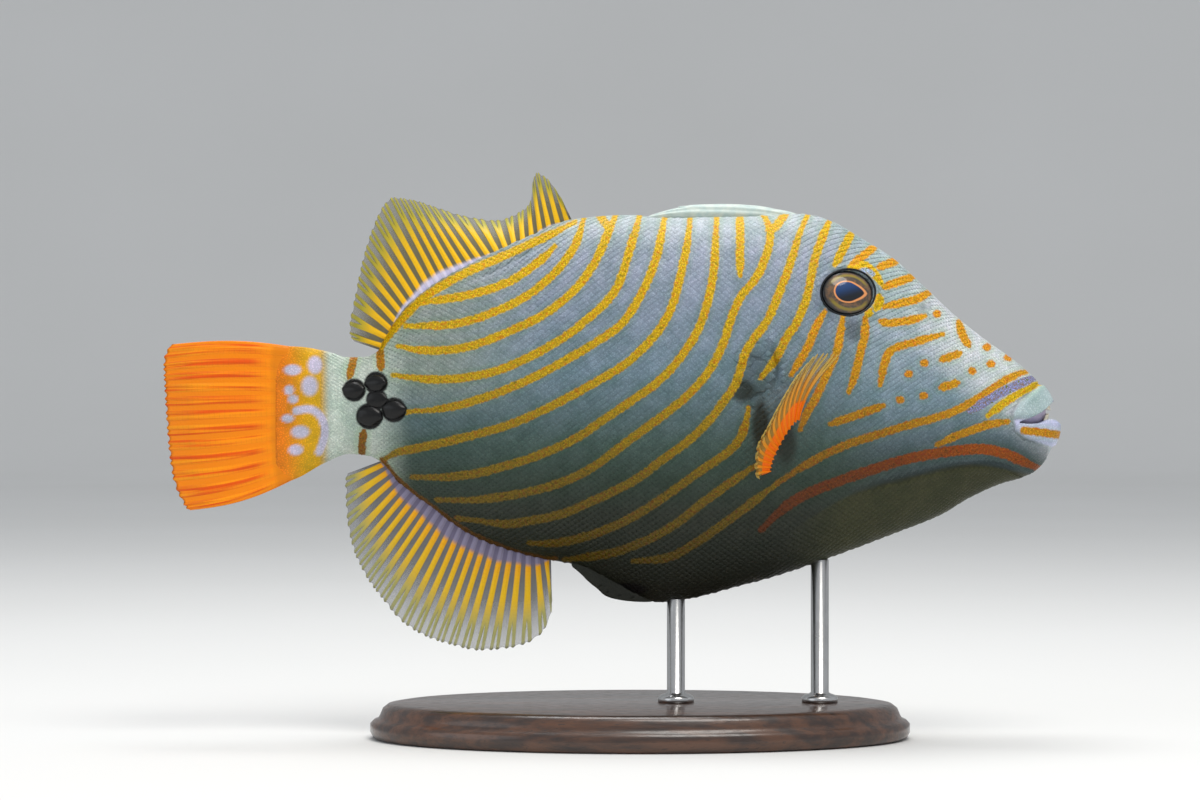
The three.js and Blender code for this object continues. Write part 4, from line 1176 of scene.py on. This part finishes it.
def make_teeth():
    bm = bmesh.new()
    for rows, lean in ((TEETH, 0.9), (LOWER_TEETH, 0.5)):
        for across, root, tip in rows:
            for side in (1, -1):
                made = bmesh.ops.create_cube(bm, size=1)["verts"]
                edges = list({e for v in made for e in v.link_edges})
                bmesh.ops.subdivide_edges(bm, edges=edges, cuts=3, use_grid_fill=True)
                for vert in [v for v in bm.verts if not v.tag]:
                    t = vert.co.z + 0.5
                    pinch = mix(1.0, 0.62, t**1.5)
                    round_off = 1 - 0.18 * (abs(vert.co.x) + abs(vert.co.y)) ** 2
                    x = TEETH_X + lean * t - 0.3 * across + vert.co.x * pinch * round_off
                    y = side * (across + vert.co.y * 1.15 * pinch * round_off)
                    vert.co = Vector((x, y, mix(root, tip, t))) * MM
                    vert.tag = True
    add_piece("teeth", mesh_of(bm, "teeth"), "tooth")


make_gill_plates()
make_tail_spines()
make_eyes()
make_eye_rims()
make_mouth_lining()
make_teeth()


# The middle fins' edges: the share along the fin from the rear, then the photograph's pixel
DORSAL_ROOT_X, ANAL_ROOT_X = (-58.2, -15.2), (-58.0, -19.8)
DORSAL_EDGE = [
    (0, 353, 341), (0.03, 351, 333), (0.11, 358, 295), (0.21, 367, 255), (0.29, 377, 224), (0.34, 385, 207),
    (0.38, 394, 198.5), (0.46, 412, 200), (0.56, 437, 207), (0.62, 460, 214), (0.7, 494, 219),
    (0.78, 520, 210), (0.83, 530, 200), (0.86, 533, 178), (0.9, 537, 172.2), (0.94, 546, 177.5),
    (0.98, 558, 193), (1, 566, 208),
]
ANAL_EDGE = [
    (0, 346, 474), (0.03, 345, 485), (0.1, 346, 515), (0.18, 352, 548), (0.25, 360, 567), (0.3, 368, 581),
    (0.39, 383, 600), (0.47, 403, 622), (0.57, 429, 636.5), (0.66, 453, 643.5), (0.75, 480, 648.5),
    (0.84, 510, 646), (0.89, 528, 641), (0.93, 543, 630), (0.975, 552, 606), (1, 552, 594),
]


def middle_fin_rows(ridge, root_x, edge):
    """A middle fin's rows, its roots spaced evenly along the body's ridge."""
    xs = np.linspace(*root_x, 80)
    along = np.concatenate([[0], np.cumsum(np.hypot(np.diff(xs), np.diff(ridge(xs))))])
    rows = []
    for share, px, py in edge:
        x = float(np.interp(share * along[-1], along, xs))
        rows.append((share, x, float(ridge(x)), *photo((px, py))[0]))
    return rows


# Each row is a place along the fin: its share from the rear, then the root's x and z and the edge's
DORSAL = middle_fin_rows(back, DORSAL_ROOT_X, DORSAL_EDGE)
ANAL = middle_fin_rows(belly, ANAL_ROOT_X, ANAL_EDGE)
CAUDAL = [
    (0, -75, 58.6, -100.3, 50.6), (0.06, -75, 60, -101.4, 52), (0.2, -75, 63.5, -103.9, 58),
    (0.4, -75, 69, -104.9, 66), (0.7, -75, 77.6, -105.5, 77.5), (0.92, -75, 84.4, -105.8, 84),
    (1, -75, 86.7, -104.4, 87.6),
]
PECTORAL = [
    (0, 28.4, 59.4, 25.6, 57.6, 8.4), (0.12, 28.6, 60.6, 24.9, 61.2, 9.6), (0.25, 29, 62, 25.2, 65.4, 11),
    (0.4, 29.8, 64, 27.6, 70.2, 12.6), (0.55, 30.8, 66, 30.6, 76, 13.4), (0.7, 32, 68, 34.4, 81.8, 12.6),
    (0.85, 33.2, 69.6, 38.6, 85.4, 11.4), (1, 34.4, 70.6, 43, 85, 11),
]
RAYS = {"dorsal": 25, "anal": 22, "caudal": 12, "pectoral": 13}
ROOT_SINK = 2.2


def fin_lines(rows, sink):
    """A fin's root line, sunk in the body, and its edge line, as functions of the share along it."""
    columns = [through(rows, i) for i in range(1, len(rows[0]))]

    def root(s):
        x, z, far_x, far_z = (c(s) for c in columns[:4])
        length = np.hypot(far_x - x, far_z - z)
        return x - (far_x - x) / length * sink, z - (far_z - z) / length * sink

    return root, lambda s: (columns[2](s), columns[3](s)), columns[4] if len(columns) > 4 else None


def ray_ridge(s, t, rays, wide=0.17):
    """1 along each ray's middle. A ray forks in its outer half."""
    off = np.abs(np.mod(s * rays, 1) - 0.5)
    fork = 0.2 * ease(0.35, 1.0, t)
    return np.exp(-(((off - fork) / mix(wide, wide * 0.5, t)) ** 2))


def make_fin(name, kind, sheet, replaces, skin_half, ray_half, rows=30, per_ray=10):
    """A fin as one closed sheet. sheet(s, t) gives its middle, skin_half and ray_half half its thickness."""
    rays = RAYS[kind]

    def at(s, w):
        t = 1 - np.abs(2 * w - 1)
        face = np.where(w < 0.5, -1.0, 1.0)
        middle = sheet(s, t)
        step = 1e-3
        low_s, high_s = np.clip(s - step, 0, 1), np.clip(s + step, 0, 1)
        low_t, high_t = np.clip(t - step, 0, 1), np.clip(t + step, 0, 1)
        normal = np.cross(sheet(high_s, t) - sheet(low_s, t), sheet(s, high_t) - sheet(s, low_t))
        normal /= np.maximum(np.linalg.norm(normal, axis=1, keepdims=True), 1e-9)
        edge = np.minimum(np.minimum(s, 1 - s) * rays * 2, np.minimum(1 - t, t) * 14)
        closed = np.sqrt(np.clip(edge, 0, 1))
        half = (skin_half(s, t) + ray_half(s, t) * ray_ridge(s, t, rays)) * closed
        return middle + normal * (face * half)[:, None]

    bm, s, w = grid(rays * per_ray, rows * 2, at)
    share = 1 - np.abs(2 * w - 1)
    layer = bm.loops.layers.uv.new("rays")
    bm.verts.index_update()
    for face in bm.faces:
        for loop in face.loops:
            loop[layer].uv = (s[loop.vert.index] * rays, share[loop.vert.index])
    bmesh.ops.remove_doubles(bm, verts=bm.verts, dist=1e-7)
    return add_piece(name, mesh_of(bm, name), kind, replaces)


def flat_sheet(kind, rows, sway, scallop, sink=ROOT_SINK, bulge=None):
    """The middle of a fin that stands on the fish's middle plane. sway(s, t) bends it to the side."""
    root, edge, _ = fin_lines(rows, sink)

    def sheet(s, t):
        near_x, near_z = root(s)
        far_x, far_z = edge(s)
        length = np.hypot(far_x - near_x, far_z - near_z)
        wave = ray_ridge(s, np.ones_like(s), RAYS[kind], 0.3) - 0.5
        reach = t * (1 + scallop * wave * t**4 / np.maximum(length, 1))
        x, z = mix(near_x, far_x, reach), mix(near_z, far_z, reach)
        if bulge:
            z = z + bulge(s) * np.sin(math.pi * t)
        return np.stack([x, sway(s, t), z], axis=1)

    return sheet


def dorsal_sway(s, t):
    return 7 * t**2 * np.sin(math.pi * (1.15 + 1.9 * s)) * np.clip(s / 0.05, 0, 1)


def anal_sway(s, t):
    return 4 * t**2 * np.sin(math.pi * (0.2 + 1.6 * s))


def make_fins():
    def fin_skin(s, t):
        return mix(0.2, 0.06, t)

    def fin_ray(s, t):
        return mix(0.32, 0.1, t)

    def tail_skin(s, t):
        return mix(0.85, 0.14, ease(0.12, 0.6, t)) * (0.6 + 0.4 * np.sin(math.pi * s))

    def tail_ray(s, t):
        return 0.3 * ease(0.15, 0.4, t) * mix(1.0, 0.6, t)

    def tail_sway(s, t):
        return 0.8 * t**2 * np.sin(2 * math.pi * s)

    dorsal = flat_sheet("dorsal", DORSAL, dorsal_sway, 0.4)
    make_fin("dorsal_fin", "dorsal", dorsal, ("second_dorsal_fin",), fin_skin, fin_ray)
    anal = flat_sheet("anal", ANAL, anal_sway, 0.5)
    make_fin("anal_fin_rays", "anal", anal, ("anal_fin",), fin_skin, fin_ray)
    tail = flat_sheet("caudal", CAUDAL, tail_sway, 0.5, 0.0, lambda s: mix(-1.6, 1.2, s))
    make_fin("tail_fin", "caudal", tail, ("caudal_fin",), tail_skin, tail_ray, 40, 16)
    for side, side_name in ((1, "left"), (-1, "right")):
        make_pectoral(side, side_name)


def make_pectoral(side, side_name):
    root, edge, out = fin_lines(PECTORAL, 0)
    root_y = through([(s, side_y(*(float(v) for v in root(s))) - 1.0) for s in np.linspace(0, 1, 9)])

    def sheet(s, t):
        near_x, near_z = root(s)
        far_x, far_z = edge(s)
        notch = 1 - 0.16 * (1 - ray_ridge(s, np.ones_like(s), RAYS["pectoral"], 0.32)) * t**3 * (1 - 0.6 * s)
        reach = t * notch
        x = mix(near_x, far_x, reach) - 1.5 * np.sin(math.pi * t)
        y = root_y(s) + out(s) * reach**0.9
        return np.stack([x, side * y, mix(near_z, far_z, reach)], axis=1)

    def fin_skin(s, t):
        return mix(0.35, 0.06, t)

    def fin_ray(s, t):
        return mix(0.4, 0.12, t)

    stands_for = (f"pectoral_fin_{side_name}",)
    make_fin(f"pectoral_{side_name}", "pectoral", sheet, stands_for, fin_skin, fin_ray, 26, 10)


make_fins()

FOLDED_TOP = [(0.6, 116.4), (3, 117.4), (8, 118.4), (17.8, 118.8), (26, 118.5), (33, 117.6), (37.4, 116.3)]
FOLDED_FLOOR = 114.4
FOLDED_HALF = 1.9
DORSAL_SPINES = [
    ((35.8, 0, 115.8), (8.5, 0, 118.2), 1.25), ((31, 1.2, 115.6), (12, 1.0, 116.9), 0.8),
    ((31, -1.2, 115.6), (12, -1.0, 116.9), 0.8),
]


def make_folded_dorsal():
    """The first dorsal fin, laid back in its groove: pleated skin with three spines."""
    top = through(FOLDED_TOP)
    low, high = FOLDED_TOP[0][0], FOLDED_TOP[-1][0]

    def skin_at(s, t):
        x = mix(low, high, s)
        angle = 2 * math.pi * t
        ends = np.clip(np.minimum(s, 1 - s) * 3.2, 0, 1) ** 0.6
        tall = (top(x) - FOLDED_FLOOR) / 2 * np.maximum(ends, 0.001)
        pleat = 1 + 0.07 * np.sin(9 * angle + 5 * s) * np.clip(np.cos(angle) + 0.4, 0, 1)
        wide = FOLDED_HALF * ends * pleat
        slope = 0.5 * np.sin(s * 26) * 0.12 * np.clip(np.cos(angle), 0, 1)
        z = FOLDED_FLOOR + (top(x) - FOLDED_FLOOR) / 2 + tall * np.cos(angle) * pleat * 0.96 + slope
        return np.stack([x, wide * np.sin(angle), np.minimum(z, top(x))], axis=1)

    bm, _, _ = grid(110, 60, skin_at)
    bmesh.ops.remove_doubles(bm, verts=bm.verts, dist=1e-6)
    mesh = mesh_of(bm, "folded_dorsal_skin")
    add_piece("folded_dorsal_skin", mesh, "folded", ("first_dorsal_fin",))
    bm = bmesh.new()
    for start, end, radius in DORSAL_SPINES:
        made = bmesh.ops.create_uvsphere(bm, u_segments=20, v_segments=36, radius=1)["verts"]
        a, b = Vector(start), Vector(end)
        for vert in made:
            t = (vert.co.z + 1) / 2
            rough = 1 + 0.06 * math.sin(40 * t) * max(0, vert.co.y)
            thick = radius * math.sqrt(max(0.0, 1 - t)) * min(1.0, t * 8) ** 0.5 * rough
            flat = math.hypot(vert.co.x, vert.co.y) or 1
            ring = Vector((0, vert.co.x / flat, vert.co.y / flat)) * thick * (1 if flat < 1.5 else 0)
            if t < 1e-6 or t > 1 - 1e-6:
                ring = Vector()
            bow = Vector((0, 0, 0.35 * math.sin(math.pi * t)))
            vert.co = (a.lerp(b, t) + ring + bow) * MM
    add_piece("dorsal_spines", mesh_of(bm, "dorsal_spines"), "folded")


PELVIC = [
    (4.5, 34), (4.2, 30.3), (-1, 30.3), (-4.5, 30.7), (-7.8, 31.5), (-9.4, 33.2), (-11.2, 34.5),
    (-13.4, 36.8), (-16, 38.8), (-12, 41), (-4, 40), (2, 37),
]
PELVIC_BARBS = [(-7.2, 32.2), (-4.6, 31.4), (-1.6, 31), (1.4, 31), (-8.8, 33.6)]


def make_pelvic_flap():
    """The belly's keeled flap with its short barbs."""
    outline = smooth_line(PELVIC + PELVIC[:1], 2)[:-1]
    bm = bmesh.new()
    rim = [bm.verts.new((x * MM, -0.9 * MM, z * MM)) for x, z in outline]
    side = bm.faces.new(rim)
    other = bmesh.ops.extrude_face_region(bm, geom=[side])
    for vert in (g for g in other["geom"] if isinstance(g, bmesh.types.BMVert)):
        vert.co.y = 0.9 * MM
    rims = [e for e in bm.edges if abs(e.verts[0].co.y - e.verts[1].co.y) < 1e-9]
    bmesh.ops.bevel(
        bm, geom=rims, offset=0.4 * MM, offset_type="OFFSET", affect="EDGES", segments=3, profile=0.5,
        material=-1, clamp_overlap=True,
    )
    for x, z in PELVIC_BARBS:
        for y in (-0.75, 0.0, 0.75):
            made = dome(bm, 0.45, 0.36, 1, 0.6, 12, 5, 1.2)
            for vert in made:
                rise = max(0.0, vert.co.z)
                vert.co = Vector((x + vert.co.x - 0.8 * rise**1.5, y + vert.co.y, z - 0.62 * rise + 0.5)) * MM
    mesh = mesh_of(bm, "pelvic_spine")
    paint(mesh)
    add_piece("pelvic_spine", mesh, "scale", ("pelvic_flap",))


make_folded_dorsal()
make_pelvic_flap()

STAND = {"length": 120, "width": 70, "height": 8, "rod": 2, "rod_x": (40, 8)}
# The base's turned edge: radius and height
PLINTH = [
    (0, 0.4), (0.8, 0), (58, 0), (59.4, 0.5), (60, 1.6), (60, 3.4), (59.2, 4.2), (58.2, 4.6), (57.8, 5.4),
    (57.2, 6.8), (56, 7.7), (54, 8), (0.8, 8), (0, 8),
]


def turned(name, profile, columns, squash=1.0, middle=(0, 0)):
    """A turned form: each row of the profile is its radius and height."""
    radii, heights = np.array(profile, float).T

    def at(s, t):
        row = np.rint(t * (len(profile) - 1)).astype(int)
        angle = 2 * math.pi * s
        x, y = radii[row] * np.cos(angle), radii[row] * np.sin(angle) * squash
        return np.stack([x + middle[0], y + middle[1], heights[row]], axis=1)

    bm, _, _ = grid(columns, len(profile) - 1, at)
    bmesh.ops.remove_doubles(bm, verts=bm.verts, dist=1e-7)
    return mesh_of(bm, name)


def make_stand():
    squash = STAND["width"] / STAND["length"]
    mesh = turned("plinth", PLINTH, 160, squash)
    add_piece("plinth", mesh, "wood", ("stand_base",))
    for x, node_name in zip(STAND["rod_x"], ("stand_rod_front", "stand_rod_rear")):
        low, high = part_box(node_name)
        top = high[2] / MM
        radius = STAND["rod"]
        collar = [(0, 8.02), (4, 8.02), (4, 9), (3.4, 9.6), (2.5, 9.9)]
        rod = [(radius, 10.2), (radius, top - 0.4), (radius - 0.4, top), (0, top)]
        profile = collar + rod
        name = "rod_" + node_name.split("_")[-1]
        mesh = turned(name, profile, 48, 1.0, (x, 0))
        add_piece(name, mesh, "metal", (node_name,))


make_stand()


# Camera, light and floor
def make_camera():
    data = bpy.data.cameras.new("camera")
    data.lens, data.sensor_width = LENS["focal"], LENS["sensor"]
    data.clip_start, data.clip_end = 0.01, 20
    camera = bpy.data.objects.new("camera", data)
    camera.location = Vector((LENS["x"], -LENS["distance"], LENS["z"])) * MM
    camera.rotation_euler = (math.radians(90), 0, 0)
    bpy.context.collection.objects.link(camera)
    bpy.context.scene.camera = camera


def add_light(name, place, target, size, power, colour=(1, 1, 1)):
    data = bpy.data.lights.new(name, "AREA")
    data.shape, data.size, data.energy, data.color = "DISK", size, power, colour
    light = bpy.data.objects.new(name, data)
    light.location = place
    light.rotation_euler = (Vector(target) - Vector(place)).to_track_quat("-Z", "Y").to_euler()
    bpy.context.collection.objects.link(light)


def make_stage():
    bm = bmesh.new()
    bmesh.ops.create_grid(bm, x_segments=60, y_segments=60, size=6)
    for vert in bm.verts:
        behind = max(0.0, vert.co.y - 2.5)
        vert.co.z = 0.9 * behind**2
    mesh = mesh_of(bm, "floor")
    floor = bpy.data.objects.new("floor", mesh)
    bpy.context.collection.objects.link(floor)
    made, tree, shader = new_material("pale floor")
    place = node(tree, "ShaderNodeTexCoord").outputs["Object"]
    cloud = noise(tree, place, 300, 2.0)
    tree.links.new(blend_colours(tree, cloud, (222, 222, 220), (228, 228, 227)), shader.inputs["Base Color"])
    shader.inputs["Roughness"].default_value = 0.8
    mesh.materials.append(made)
    mesh.shade_smooth()
    world = bpy.data.worlds.new("studio")
    world.use_nodes = True
    world.node_tree.nodes["Background"].inputs[0].default_value = (0.93, 0.96, 1.0, 1)
    world.node_tree.nodes["Background"].inputs[1].default_value = 0.62
    bpy.context.scene.world = world
    bpy.context.scene.view_settings.view_transform = "Standard"
    middle = (0, 0, 0.08)
    add_light("key", (0.2, -0.45, 0.85), middle, 0.5, 4.2, (1, 0.97, 0.92))
    add_light("top", (-0.05, 0.15, 0.9), middle, 0.5, 4.0)
    add_light("fill", (-0.7, -0.5, 0.3), middle, 0.6, 0.8, (0.9, 0.95, 1))


make_camera()
make_stage()
